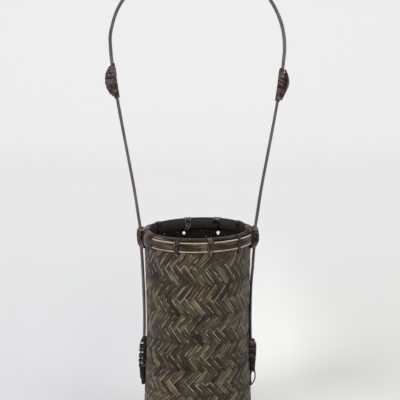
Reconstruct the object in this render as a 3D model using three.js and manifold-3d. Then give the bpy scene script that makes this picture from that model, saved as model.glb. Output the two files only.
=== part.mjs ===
// Woven bamboo flower vase: a tall round basket with a lashed rim, a tall cane handle and a lift-out water liner.
// Sizes are in millimetres. +Z is up, the handle stands in the X-Z plane, and the front faces -Y.
import * as THREE from "three";
import { mergeVertices } from "three/addons/utils/BufferGeometryUtils.js";
import Module from "manifold-3d";

const wasm = await Module();
wasm.setup();

// Clearance between neighbouring pieces
const gap = 0.3;
const slotGap = 0.25;

// Woven body: the outline rows are shares of the body height and of the rim radius
const bodyHeight = 204.8;
const rimRadius = 53;
const wallThickness = 1.4;
const floorHeight = 5.8;
const floorShare = 0.736;
const footInnerShare = 0.8585;
const outlineShares = [
  [0, 0.934],
  [0.0063, 0.985],
  [0.022, 1.015],
  [0.06, 1.025],
  [0.176, 1.0226],
  [0.283, 1.0057],
  [0.391, 0.987],
  [0.488, 0.9755],
  [0.586, 0.9736],
  [0.708, 0.981],
  [0.83, 0.9925],
  [0.918, 1],
  [1, 1],
];

// Rim hoops and the filler cane that lies on the wall's edge between them
const outerHoopThickness = 2.2;
const outerHoopHeight = 8.6;
const innerHoopThickness = 1.8;
const innerHoopHeight = 11.4;
const innerHoopRise = 3.6;
const hoopBevel = 0.5;
const fillerRadius = 1.2;

const outerHoopInner = rimRadius + gap;
const outerHoopOuter = outerHoopInner + outerHoopThickness;
const outerHoopHigh = bodyHeight;
const outerHoopLow = outerHoopHigh - outerHoopHeight;
const innerHoopOuter = rimRadius - wallThickness - gap;
const innerHoopInner = innerHoopOuter - innerHoopThickness;
const innerHoopHigh = bodyHeight + innerHoopRise;
const innerHoopLow = innerHoopHigh - innerHoopHeight;

// Flat rattan strip of every winding
const stripWidth = 1.4;
const stripThickness = 0.5;

// Handle: an elliptic arch on two side canes
const caneRadius = 1.25;
const archCaneRadius = 1.4;
const archHalfWidth = 84.8;
const archRise = 82.5;
const archCentreRise = 183.2;
const archCentreHeight = bodyHeight + archCentreRise;
const windingRadius = caneRadius + gap + 0.75 * stripThickness;

// A side cane below the rim: shares of the body height, and of the way from lying on the wall to clearing the outer hoop
const lowCaneShares = [
  [0.2, 0.05],
  [0.293, 0.05],
  [0.39, 0.08],
  [0.474, 0],
  [0.527, -0.08],
  [0.654, -0.05],
  [0.796, 0.15],
  [0.879, 0.4],
  [0.935, 0.84],
  [0.979, 1.08],
];
const caneRest = windingRadius + stripThickness / 2 + gap;
const caneRimReach = outerHoopOuter + gap + caneRadius;

// A side cane above the rim: shares of the way up to the arch's centre height, and of the way out to its half width
const highCaneShares = [
  [0.023, 0.02],
  [0.0939, 0.085],
  [0.2287, 0.213],
  [0.4045, 0.416],
  [0.5786, 0.6215],
  [0.7303, 0.791],
  [0.8199, 0.8845],
  [0.9127, 0.9567],
];
const archPoints = 17;
const scarfLength = 24;
const scarfCut = 0.3;

// Thin bowed strand beside the cane at each binding: how far it stands off the cane's centre, and its half length
const bowRadius = 0.7;
const bowRest = caneRadius + gap + bowRadius;
const leftShoulderHalf = 15.5;
const leftShoulderBulge = 7.5;
const leftShoulderShare = 0.8226;
const rightShoulderHalf = 16;
const rightShoulderBulge = 6.5;
const rightShoulderShare = 0.8;
const lowerHalf = 26.5;
const lowerBulge = 3.2;
const lowerShare = 0.338;
const lowerBoundTop = 25.5;
const leftLowerBound = 49.5;
const rightLowerBound = 36;
const shoulders = [
  {
    side: -1,
    name: "left",
    centre: bodyHeight + leftShoulderShare * archCentreRise,
    half: leftShoulderHalf,
    bulge: leftShoulderBulge,
    turns: 14,
  },
  {
    side: 1,
    name: "right",
    centre: bodyHeight + rightShoulderShare * archCentreRise,
    half: rightShoulderHalf,
    bulge: rightShoulderBulge,
    turns: 15,
  },
];
const lowers = [
  { side: -1, name: "left", bound: leftLowerBound, turns: 22 },
  { side: 1, name: "right", bound: rightLowerBound, turns: 17 },
].map((lower) => {
  const centre = lowerShare * bodyHeight;
  return { ...lower, centre, half: lowerHalf, bulge: lowerBulge, top: centre + lowerBoundTop };
});

// Rim lashings: azimuths in degrees from the front, positive to the right
const lashingAzimuths = [-63, -21.5, 13.5, 45, 124, 155.5, 197, 232];
const lashingTurns = 3;
const lashingPitch = 2.05;
const lashingDrop = 3.8;
const lashingHole = 3.6;
const lashingHoleHigh = outerHoopLow - lashingDrop;
const lashingHoleLow = lashingHoleHigh - lashingHole;

// Rim knots: two crossed layers of turns hold each side cane on the rim
const knotTurns = 3;
const knotPitch = 2.3;
const knotNear = 2.35;
const knotLayer = 1.65;
const knotSpread = 4.6;
const backShares = [0, 0, 0, 0.59, 1, 1, 1];

// Stitches that carry a lower binding through the wall
const stitchReach = 2.7;
const stitchHoleWidth = 2.8;
const stitchHoleHeight = 3;

// Two pairs of crossed bars under the floor
const barWidth = 8;
const barThickness = 1.5;
const barOffsetShare = 0.302;
const barEndShare = 0.868;
const lowBarHeight = 2.1;
const highBarHeight = 3.9;
const barOffset = barOffsetShare * rimRadius;
const barEndRadius = barEndShare * rimRadius;

// Water liner
const linerRoom = 13;
const linerThickness = 1.2;
const linerDepth = 24.8;
const linerLip = 1.8;
const linerLipHeight = 3;
const linerFoot = 1.6;
const linerRadius = rimRadius - linerRoom;
const linerTop = bodyHeight - linerDepth;

// Mesh steps
const roundSteps = 48;
const fillerSides = 6;
const caneSides = 8;
const caneSteps = 118;
const bowSides = 6;
const bowSteps = 16;
const weld = 1e-4;

const colours = {
  weave: { color: 0x5a5243, roughness: 0.6, metalness: 0 },
  hoop: { color: 0x4c4236, roughness: 0.5, metalness: 0 },
  filler: { color: 0x3c2b27, roughness: 0.6, metalness: 0 },
  cane: { color: 0x6a6159, roughness: 0.5, metalness: 0 },
  rattan: { color: 0x3c2d2d, roughness: 0.5, metalness: 0 },
  bar: { color: 0x5d5038, roughness: 0.6, metalness: 0 },
  liner: { color: 0x1f1d1b, roughness: 0.45, metalness: 0 },
};

const vase = new THREE.Group();
vase.name = "woven_bamboo_vase";

function add(name, geometry, look) {
  geometry.computeVertexNormals();
  const mesh = new THREE.Mesh(geometry, new THREE.MeshStandardMaterial(look));
  mesh.name = name;
  vase.add(mesh);
}

function solidFrom(geometry) {
  const bare = new THREE.BufferGeometry();
  bare.setAttribute("position", geometry.getAttribute("position"));
  bare.setIndex(geometry.index);
  const merged = mergeVertices(bare, weld);
  const mesh = new wasm.Mesh({
    numProp: 3,
    vertProperties: merged.attributes.position.array,
    triVerts: new Uint32Array(merged.index.array),
  });
  return new wasm.Manifold(mesh);
}

function geometryFrom(solid) {
  const mesh = solid.getMesh();
  const geometry = new THREE.BufferGeometry();
  geometry.setAttribute("position", new THREE.BufferAttribute(Float32Array.from(mesh.vertProperties), 3));
  geometry.setIndex(new THREE.BufferAttribute(Uint32Array.from(mesh.triVerts), 1));
  return geometry;
}

// A profile of [radius, height] rows turned round the Z axis
function turned(rows, steps = roundSteps) {
  const profile = rows.map(([radius, height]) => new THREE.Vector2(radius, height));
  const geometry = new THREE.LatheGeometry(profile, steps);
  geometry.rotateX(Math.PI / 2);
  return geometry;
}

function closed(rows) {
  return [...rows, rows[0]];
}

// A tube through the points; each lean says which way the section's outer side looks
function swept(points, leans, section, sizeAt) {
  const positions = [];
  const faces = [];
  const sides = section.length;
  const last = points.length - 1;
  points.forEach((point, i) => {
    const arriving = point.clone().sub(points[Math.max(i - 1, 0)]).normalize();
    const leaving = points[Math.min(i + 1, last)].clone().sub(point).normalize();
    const along = arriving.add(leaving).normalize();
    const across = along.clone().cross(leans[i]).normalize();
    const out = across.clone().cross(along).normalize();
    const [halfAcross, halfOut] = sizeAt(i);
    section.forEach(([a, o]) => {
      const corner = point.clone().addScaledVector(across, a * halfAcross).addScaledVector(out, o * halfOut);
      positions.push(corner.x, corner.y, corner.z);
    });
  });
  for (let i = 0; i < last; i++) {
    for (let j = 0; j < sides; j++) {
      const here = i * sides + j;
      const next = i * sides + ((j + 1) % sides);
      faces.push(here, next, here + sides, next, next + sides, here + sides);
    }
  }
  for (let j = 1; j < sides - 1; j++) {
    faces.push(0, j + 1, j);
    faces.push(last * sides, last * sides + j, last * sides + j + 1);
  }
  const geometry = new THREE.BufferGeometry();
  geometry.setAttribute("position", new THREE.Float32BufferAttribute(positions, 3));
  geometry.setIndex(faces);
  return geometry;
}

function roundSection(sides) {
  return Array.from({ length: sides }, (_, j) => {
    const turn = (2 * Math.PI * j) / sides;
    return [Math.cos(turn), -Math.sin(turn)];
  });
}

const stripSection = [
  [1, 1],
  [1, -1],
  [-1, -1],
  [-1, 1],
];

// The least distance between the surfaces of turns that lie at least half a turn apart along one strip
function leastGap(geometry, stepsPerTurn) {
  const corners = geometry.getAttribute("position");
  const sides = stripSection.length;
  const rings = corners.count / sides;
  const between = 4;
  const marks = [];
  const from = new THREE.Vector3();
  const to = new THREE.Vector3();
  for (let ring = 0; ring < rings - 1; ring++) {
    for (let part = 0; part < between; part++) {
      for (let j = 0; j < 2 * sides; j++) {
        const one = (j >> 1) % sides;
        const two = (one + (j & 1)) % sides;
        const point = new THREE.Vector3();
        for (const corner of [one, two]) {
          from.fromBufferAttribute(corners, ring * sides + corner);
          to.fromBufferAttribute(corners, (ring + 1) * sides + corner);
          point.addScaledVector(from.lerp(to, part / between), 0.5);
        }
        marks.push([ring, point]);
      }
    }
  }
  let least = Infinity;
  for (let i = 0; i < marks.length; i++) {
    for (let j = i + 1; j < marks.length; j++) {
      if (marks[j][0] - marks[i][0] < stepsPerTurn / 2) continue;
      least = Math.min(least, marks[i][1].distanceToSquared(marks[j][1]));
    }
  }
  return Math.sqrt(least);
}

function addWinding(name, points, leans, turns) {
  const halves = [stripWidth / 2, stripThickness / 2];
  const geometry = swept(points, leans, stripSection, () => halves);
  add(name, geometry, colours.rattan);
  const least = leastGap(geometry, points.length / turns);
  console.log(`${name}: ${turns} turns, least gap to itself ${least.toFixed(2)} mm`);
}

// Piecewise straight reading of a table of [input, output] rows
function read(rows, at) {
  const next = rows.findIndex(([input]) => input >= at);
  if (next === 0) return rows[0][1];
  if (next < 0) return rows[rows.length - 1][1];
  const [lowIn, lowOut] = rows[next - 1];
  const [highIn, highOut] = rows[next];
  return THREE.MathUtils.mapLinear(at, lowIn, highIn, lowOut, highOut);
}

const wallRows = outlineShares.map(([height, radius]) => [height * bodyHeight, radius * rimRadius]);

function wallRadius(height) {
  return read(wallRows, height);
}

// A point at an azimuth from the front, with the tangential offset measured along the rim
function rimPoint(azimuth, offset, radius, height) {
  const turn = THREE.MathUtils.degToRad(azimuth) + offset / rimRadius;
  return new THREE.Vector3(radius * Math.sin(turn), -radius * Math.cos(turn), height);
}

function rimLean(azimuth, offset, outward, upward) {
  return rimPoint(azimuth, offset, outward, upward);
}

// A block through the wall at an azimuth
function wallHole(azimuth, offset, width, low, high) {
  const middle = (low + high) / 2;
  const block = new THREE.BoxGeometry(width, 6 * wallThickness, high - low);
  const turn = THREE.MathUtils.degToRad(azimuth) + offset / rimRadius;
  block.rotateZ(turn);
  const centre = rimPoint(azimuth, offset, wallRadius(middle) - wallThickness / 2, middle);
  block.translate(centre.x, centre.y, centre.z);
  return solidFrom(block);
}

// The wall's own profile: its lower and outer line, and the same line moved inwards by the wall thickness
function bodyProfile() {
  const outer = [[0, floorHeight], [floorShare * rimRadius, floorHeight], [footInnerShare * rimRadius, 0]];
  wallRows.forEach(([height, radius]) => outer.push([radius, height]));
  const normals = outer.slice(1).map(([radius, height], i) => {
    const [oldRadius, oldHeight] = outer[i];
    return new THREE.Vector2(oldHeight - height, radius - oldRadius).normalize();
  });
  const inner = outer.map(([radius, height], i) => {
    const before = normals[Math.max(i - 1, 0)];
    const after = normals[Math.min(i, normals.length - 1)];
    const middle = before.clone().add(after).normalize();
    const reach = wallThickness / middle.dot(before);
    return [Math.max(radius + middle.x * reach, 0), height + middle.y * reach];
  });
  return [...outer, ...inner.reverse()];
}

function barBlock(alongX, offset, bottom, room) {
  const half = Math.sqrt(barEndRadius ** 2 - (barOffset + barWidth / 2) ** 2) + room;
  const width = barWidth + 2 * room;
  const thickness = barThickness + 2 * room;
  const block = alongX
    ? new THREE.BoxGeometry(2 * half, width, thickness)
    : new THREE.BoxGeometry(width, 2 * half, thickness);
  const centre = bottom + barThickness / 2;
  block.translate(alongX ? 0 : offset, alongX ? offset : 0, centre);
  return block;
}

const bars = [
  ["base_bar_front", true, -barOffset, lowBarHeight],
  ["base_bar_back", true, barOffset, lowBarHeight],
  ["base_bar_left", false, -barOffset, highBarHeight],
  ["base_bar_right", false, barOffset, highBarHeight],
];

function addBars() {
  bars.forEach(([name, alongX, offset, bottom]) => {
    add(name, barBlock(alongX, offset, bottom, 0), colours.bar);
  });
}

// The turns of a lower binding that go through the wall, counted from the top
function stitchTurns(lower) {
  return [1, lower.turns - 2];
}

function turnHeight(lower, turn) {
  return lower.top - (lower.bound * turn) / lower.turns;
}

function addBody() {
  const cutters = [];
  const holeWidth = (lashingTurns + 1) * lashingPitch;
  lashingAzimuths.forEach((azimuth) => {
    cutters.push(wallHole(azimuth, 0, holeWidth, lashingHoleLow, lashingHoleHigh));
  });
  const knotHole = knotTurns * knotPitch;
  lowers.forEach((lower) => {
    for (const way of [-1, 1]) {
      const offset = way * (knotNear + (knotHole - knotPitch) / 2);
      cutters.push(wallHole(90 * lower.side, offset, knotHole, lashingHoleLow, lashingHoleHigh));
      for (const turn of stitchTurns(lower)) {
        const middle = turnHeight(lower, turn + 0.45);
        const low = middle - stitchHoleHeight / 2;
        const high = middle + stitchHoleHeight / 2;
        cutters.push(wallHole(90 * lower.side, way * stitchReach, stitchHoleWidth, low, high));
      }
    }
  });
  bars.forEach(([, alongX, offset, bottom]) => {
    cutters.push(solidFrom(barBlock(alongX, offset, bottom, slotGap)));
  });
  const shell = solidFrom(turned(bodyProfile()));
  add("woven_body", geometryFrom(wasm.Manifold.difference([shell, ...cutters])), colours.weave);
}

function bevelled(innerRadius, outerRadius, low, high) {
  return closed([
    [innerRadius, low],
    [outerRadius - hoopBevel, low],
    [outerRadius, low + hoopBevel],
    [outerRadius, high - hoopBevel],
    [outerRadius - hoopBevel, high],
    [innerRadius, high],
  ]);
}

function addRim() {
  const outerProfile = bevelled(outerHoopInner, outerHoopOuter, outerHoopLow, outerHoopHigh);
  const innerProfile = bevelled(innerHoopInner, innerHoopOuter, innerHoopLow, innerHoopHigh);
  add("rim_outer_hoop", turned(outerProfile), colours.hoop);
  add("rim_inner_hoop", turned(innerProfile), colours.hoop);
  const centreRadius = innerHoopOuter + gap + fillerRadius;
  const centreHeight = bodyHeight + 1.5 * gap + fillerRadius;
  const ring = roundSection(fillerSides).map(([a, o]) => [
    centreRadius + a * fillerRadius,
    centreHeight - o * fillerRadius,
  ]);
  add("rim_filler_cane", turned(closed(ring)), colours.filler);
}

// The right side cane's centre points, from its foot upwards
function sideCanePoints() {
  const low = lowCaneShares.map(([share, lift]) => {
    const height = share * bodyHeight;
    const onWall = wallRadius(height) + caneRest;
    const onHoop = wallRadius(height) + caneRimReach - rimRadius;
    return [THREE.MathUtils.lerp(onWall, onHoop, lift), height];
  });
  const high = highCaneShares.map(([rise, out]) => [
    THREE.MathUtils.lerp(caneRimReach, archHalfWidth, out),
    bodyHeight + rise * archCentreRise,
  ]);
  return [...low, ...high];
}

// The handle's centre line, from the foot of the right side cane over the arch to the foot of the left one
function handleCurve() {
  const right = sideCanePoints();
  const arch = Array.from({ length: archPoints }, (_, i) => {
    const turn = (Math.PI * i) / (archPoints - 1);
    return [archHalfWidth * Math.cos(turn), archCentreHeight + archRise * Math.sin(turn)];
  });
  const left = right.map(([reach, height]) => [-reach, height]).reverse();
  const points = [...right, ...arch, ...left].map(([reach, height]) => new THREE.Vector3(reach, 0, height));
  return new THREE.CatmullRomCurve3(points, false, "centripetal").getSpacedPoints(caneSteps);
}

const handleLine = handleCurve();
const rightHalf = handleLine.slice(0, handleLine.length / 2);
const sideRows = rightHalf.filter((point) => point.z < archCentreHeight).map((point) => [point.z, point.x]);

// The cane's centre at a height on one side, and the direction square to it that points away from the vase
function caneFrame(side, height) {
  const reach = read(sideRows, height);
  const slope = (read(sideRows, height + caneRadius) - read(sideRows, height - caneRadius)) / (2 * caneRadius);
  const outward = new THREE.Vector3(side, 0, -slope).normalize();
  const upward = new THREE.Vector3(side * slope, 0, 1).normalize();
  return { centre: new THREE.Vector3(side * reach, 0, height), outward, upward };
}

// A slanted cut through the cane at a shoulder, so that the arch and the side cane lap in one line
function scarfCutter({ side, centre }) {
  const { centre: at, upward } = caneFrame(side, centre);
  const tilt = Math.atan2(2 * archCaneRadius, scarfLength);
  const block = new THREE.BoxGeometry(scarfCut, 6 * caneRadius, 1.4 * scarfLength);
  block.rotateY(Math.atan2(upward.x, upward.z) + side * tilt);
  block.translate(at.x, at.y, at.z);
  return solidFrom(block);
}

function addHandle() {
  const leans = handleLine.map(() => new THREE.Vector3(0, 1, 0));
  const cane = swept(handleLine, leans, roundSection(caneSides), (i) => {
    const onArch = THREE.MathUtils.smoothstep(handleLine[i].z, shoulders[0].centre, archCentreHeight);
    const radius = THREE.MathUtils.lerp(caneRadius, archCaneRadius, onArch);
    return [radius, radius];
  });
  const cut = wasm.Manifold.difference([solidFrom(cane), ...shoulders.map(scarfCutter)]);
  const pieces = cut.decompose().map((solid) => {
    const box = solid.boundingBox();
    return { solid, middle: (box.min[0] + box.max[0]) / 2 };
  });
  pieces.sort((a, b) => a.middle - b.middle);
  const names = ["handle_side_cane_left", "handle_top_arch", "handle_side_cane_right"];
  names.forEach((name, i) => add(name, geometryFrom(pieces[i].solid), colours.cane));
}

// How far a bow stands off the cane's centre at a height
function bowReach(bow, height) {
  const along = Math.min(Math.abs(height - bow.centre) / bow.half, 1);
  return bowRest + (bow.bulge - bowRest) * (1 - along ** 2);
}

function addBow(name, bow) {
  const points = [];
  const leans = [];
  for (let i = 0; i <= bowSteps; i++) {
    const height = bow.centre + bow.half * ((2 * i) / bowSteps - 1);
    const { centre, outward } = caneFrame(bow.side, height);
    points.push(centre.addScaledVector(outward, bowReach(bow, height)));
    leans.push(new THREE.Vector3(0, 1, 0));
  }
  const halves = [bowRadius, bowRadius];
  add(name, swept(points, leans, roundSection(bowSides), () => halves), colours.rattan);
}

// How fast a bow leaves the cane with height
function bowSlope(bow, height) {
  return (-2 * (bow.bulge - bowRest) * (height - bow.centre)) / bow.half ** 2;
}

// One turn round the cane and its bow, as rows of [share of the bow's reach, reach, offset along Y, lean out, lean along Y]
function turnRows() {
  const rows = [];
  for (const share of [0, 1]) {
    for (let i = 0; i <= 4; i++) {
      const turn = Math.PI * (0.5 + share + i / 4);
      const out = Math.cos(turn);
      const along = Math.sin(turn);
      rows.push([share, windingRadius * out, windingRadius * along, out, along]);
    }
  }
  return rows;
}

// The same turn, taken through the wall and back behind it
function stitchRows(wallDepth) {
  const outside = -windingRadius;
  const behind = -(wallDepth + wallThickness + gap + stripThickness);
  const through = [
    [0, 0, stitchReach, -0.3, 1],
    [0, outside, stitchReach, 0, 1],
    [0, behind, stitchReach, -1, 1],
    [0, behind, -stitchReach, -1, -1],
    [0, outside, -stitchReach, 0, -1],
    [0, 0, -stitchReach, -0.3, -1],
  ];
  return [...through, ...turnRows().slice(5)];
}

function addBinding(name, bow, top, length, stitches) {
  const points = [];
  const leans = [];
  const pitch = length / bow.turns;
  for (let turn = 0; turn < bow.turns; turn++) {
    const start = top - pitch * turn;
    const wallDepth = read(sideRows, start - pitch / 2) - wallRadius(start - pitch / 2);
    const rows = stitches.includes(turn) ? stitchRows(wallDepth) : turnRows();
    rows.forEach(([share, reach, offset, leanOut, leanAlong], i) => {
      const height = start - (pitch * i) / rows.length;
      const far = share * (bowReach(bow, height) + bowRadius - caneRadius);
      const { centre, outward, upward } = caneFrame(bow.side, height);
      points.push(centre.addScaledVector(outward, far + reach).add(new THREE.Vector3(0, offset, 0)));
      const lean = outward.clone().addScaledVector(upward, -share * bowSlope(bow, height));
      leans.push(lean.multiplyScalar(leanOut).add(new THREE.Vector3(0, leanAlong, 0)));
    });
  }
  addWinding(name, points, leans, bow.turns);
}

// One turn round the rim, as rows of [radius, height, lean outwards, lean upwards], from the outer hoop's foot upwards
const clear = gap + stripThickness / 2;
const outsideRadius = outerHoopOuter + clear;
const insideRadius = innerHoopInner - clear - wallThickness / 8;
const overTop = [
  [outerHoopOuter - 3 * hoopBevel, innerHoopHigh - hoopBevel, 0.5, 0.85],
  [innerHoopOuter + gap, innerHoopHigh + clear, 0, 1],
  [innerHoopInner - gap, innerHoopHigh + hoopBevel, -0.7, 0.7],
  [insideRadius, (innerHoopLow + innerHoopHigh) / 2, -1, 0],
];
const throughWall = [
  [insideRadius, lashingHoleHigh + wallThickness, -1, -0.1],
  [insideRadius + wallThickness, lashingHoleHigh - 0.8 * wallThickness, -0.6, -0.8],
  [rimRadius + wallThickness, lashingHoleHigh - wallThickness, 0.4, -0.9],
];

function addLashing(name, azimuth) {
  const turn = [
    [outsideRadius, lashingHoleHigh + gap, 1, -0.3],
    [outsideRadius, (outerHoopLow + outerHoopHigh) / 2, 1, 0],
    [outsideRadius, outerHoopHigh + gap, 0.9, 0.5],
    ...overTop,
    ...throughWall,
  ];
  const points = [];
  const leans = [];
  const place = (offset, [radius, height, out, up]) => {
    points.push(rimPoint(azimuth, offset, radius, height));
    leans.push(rimLean(azimuth, offset, out, up));
  };
  const start = (-lashingTurns / 2) * lashingPitch;
  for (let k = 0; k < lashingTurns; k++) {
    turn.forEach((row, i) => {
      place(start + lashingPitch * (k + i / turn.length), row);
    });
  }
  addWinding(name, points, leans, lashingTurns);
}

// A knot's radius outside the rim, where the strip climbs over the side cane
function knotRadius(offset) {
  const crown = read(sideRows, (outerHoopLow + outerHoopHigh) / 2) + caneRadius + clear + stripThickness / 4;
  const near = Math.min(Math.abs(offset) / knotSpread, 1);
  return outsideRadius + (crown - outsideRadius) * (1 - near ** 2);
}

function addKnot(name, azimuth) {
  const points = [];
  const leans = [];
  const high = outerHoopHigh + gap;
  const low = lashingHoleHigh + gap;
  const span = 2 * knotNear + (knotTurns - 1) * knotPitch;
  const place = (offset, layer, [radius, height, out, up]) => {
    const lift = layer * knotLayer;
    const size = Math.hypot(out, up);
    points.push(rimPoint(azimuth, offset, radius + (lift * out) / size, height + (lift * up) / size));
    leans.push(rimLean(azimuth, offset, out, up));
  };
  const outerSteps = 4;
  const back = [...throughWall].reverse().concat([...overTop].reverse());
  for (let layer = 0; layer < 2; layer++) {
    const way = layer === 0 ? 1 : -1;
    for (let k = 0; k < knotTurns; k++) {
      const top = -(knotNear + (knotTurns - 1 - k) * knotPitch);
      for (let i = 0; i <= outerSteps; i++) {
        const share = i / outerSteps;
        const offset = way * (top + span * share);
        const lean = share === 0 ? 0.5 : share === 1 ? -0.3 : 0;
        place(offset, layer, [knotRadius(offset), THREE.MathUtils.lerp(high, low, share), 1, lean]);
      }
      const final = k === knotTurns - 1;
      if (final && layer === 1) {
        back.slice(0, 3).forEach((row) => place(way * (top + span), layer, row));
        continue;
      }
      const bottom = way * (top + span);
      const nextTop = final ? -way * -(knotNear + (knotTurns - 1) * knotPitch) : way * (top + knotPitch);
      back.forEach((row, i) => {
        const share = backShares[i];
        const rise = final ? layer + share : layer;
        place(THREE.MathUtils.lerp(bottom, nextTop, share), rise, row);
      });
    }
  }
  addWinding(name, points, leans, 2 * knotTurns);
}

function addLiner() {
  const bottom = floorHeight + wallThickness + gap;
  const inner = linerRadius - linerThickness;
  const profile = [
    [0, bottom],
    [linerRadius - linerFoot, bottom],
    [linerRadius, bottom + linerFoot],
    [linerRadius, linerTop - linerLipHeight],
    [linerRadius + linerLip, linerTop - linerLipHeight + linerLip / 2],
    [linerRadius + linerLip, linerTop - linerLip / 3],
    [linerRadius + linerLip / 2, linerTop],
    [inner, linerTop],
    [inner, bottom + 2 * linerFoot],
    [inner - linerFoot, bottom + linerFoot],
    [0, bottom + linerFoot],
  ];
  add("water_liner", turned(profile), colours.liner);
}

addBody();
addRim();
addHandle();
shoulders.forEach((bow) => {
  addBow(`shoulder_bow_${bow.name}`, bow);
  const inset = stripWidth;
  addBinding(`shoulder_binding_${bow.name}`, bow, bow.centre + bow.half - inset, 2 * (bow.half - inset), []);
});
lowers.forEach((bow) => {
  addBow(`lower_bow_${bow.name}`, bow);
  addBinding(`lower_binding_${bow.name}`, bow, bow.top, bow.bound, stitchTurns(bow));
});
lashingAzimuths.forEach((azimuth, i) => addLashing(`rim_lashing_${i + 1}`, azimuth));
lowers.forEach((lower) => addKnot(`rim_knot_${lower.name}`, 90 * lower.side));
addBars();
addLiner();

export default vase;
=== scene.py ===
import bpy
import numpy as np
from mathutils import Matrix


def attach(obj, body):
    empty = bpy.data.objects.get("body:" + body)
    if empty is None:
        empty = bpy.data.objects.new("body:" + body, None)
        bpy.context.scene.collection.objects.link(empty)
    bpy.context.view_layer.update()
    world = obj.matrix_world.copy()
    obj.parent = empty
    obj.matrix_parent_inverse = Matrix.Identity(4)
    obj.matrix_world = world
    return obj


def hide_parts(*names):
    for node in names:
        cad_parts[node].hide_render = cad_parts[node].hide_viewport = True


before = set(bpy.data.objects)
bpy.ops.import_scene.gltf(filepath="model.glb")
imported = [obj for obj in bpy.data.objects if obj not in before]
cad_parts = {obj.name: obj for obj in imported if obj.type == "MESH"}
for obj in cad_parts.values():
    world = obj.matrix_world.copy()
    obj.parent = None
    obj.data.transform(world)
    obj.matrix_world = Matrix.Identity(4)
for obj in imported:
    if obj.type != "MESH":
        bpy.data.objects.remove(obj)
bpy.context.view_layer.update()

metresPerMm = 0.001
pi = np.pi
toFront = [0.0, -1.0, 0.0]
toGround = [0.0, 0.0, -1.0]


# Curves and meshes

# Smooth reading of a table: cubic pieces, with each row's slope taken from its two neighbours
def smoothRead(rows, at):
    inputs, outputs = np.array(rows, float).T
    slopes = np.gradient(outputs, inputs)
    at = np.clip(at, inputs[0], inputs[-1])
    spot = np.clip(np.searchsorted(inputs, at) - 1, 0, len(inputs) - 2)
    span = inputs[spot + 1] - inputs[spot]
    t = (at - inputs[spot]) / span
    ends = outputs[spot] * (1 + 2 * t) * (1 - t) ** 2 + outputs[spot + 1] * t * t * (3 - 2 * t)
    return ends + span * t * (1 - t) * (slopes[spot] * (1 - t) - slopes[spot + 1] * t)


# The columns of a table of points at new marks, read by straight lines or smoothly
def readAt(marks, points, at):
    return np.stack([np.interp(at, marks, column) for column in points.T], 1)


def smoothAt(marks, points, at):
    return np.stack([smoothRead(np.stack([marks, column], 1), at) for column in points.T], 1)


def lengthAlong(path):
    steps = np.linalg.norm(np.diff(path, axis=-2), axis=-1)
    return np.concatenate([np.zeros(steps.shape[:-1] + (1,)), np.cumsum(steps, axis=-1)], axis=-1)


# A curve through points, read at even steps along its length
def curveThrough(points, count):
    marks = lengthAlong(points)
    line = smoothAt(marks, points, np.linspace(0, marks[-1], 6 * count))
    along = lengthAlong(line)
    return readAt(along, line, np.linspace(0, along[-1], count))


def unit(vectors):
    return vectors / np.maximum(np.linalg.norm(vectors, axis=-1, keepdims=True), 1e-12)


def smoothStep(low, high, x):
    t = np.clip((x - low) / (high - low), 0, 1)
    return t * t * (3 - 2 * t)


# The same place on a round scale, from minus half a round to half a round
def wrapped(value, whole):
    return (value + whole / 2) % whole - whole / 2


# Carries a section along a path: ring point = path + side * x * half width + out * y * half thickness,
# where out is the lean made square to the path, and side is out crossed with the path's direction. halves is
# half the width and half the thickness, alike all along or at each step.
def carried(path, leans, section, halves):
    halves = np.broadcast_to(halves, (*path.shape[:-1], 2))
    along = unit(np.gradient(path, axis=-2))
    side = unit(np.cross(leans, along))
    out = np.cross(along, side)
    across = section[:, 0][:, None] * side[..., None, :] * halves[..., 0][..., None, None]
    depth = section[:, 1][:, None] * out[..., None, :] * halves[..., 1][..., None, None]
    return path[..., None, :] + across + depth


def roundSection(sides):
    turn = 2 * pi * np.arange(sides) / sides
    return np.stack([np.cos(turn), np.sin(turn)], 1)


# A rattan strip: flat on its inner face, slightly crowned on the outer one
rattanSection = np.array([
    [-0.9, -1], [0, -1], [0.9, -1], [1, -0.55], [0.93, 0.2], [0.6, 0.75], [0, 1], [-0.6, 0.75],
    [-0.93, 0.2], [-1, -0.55],
])


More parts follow.
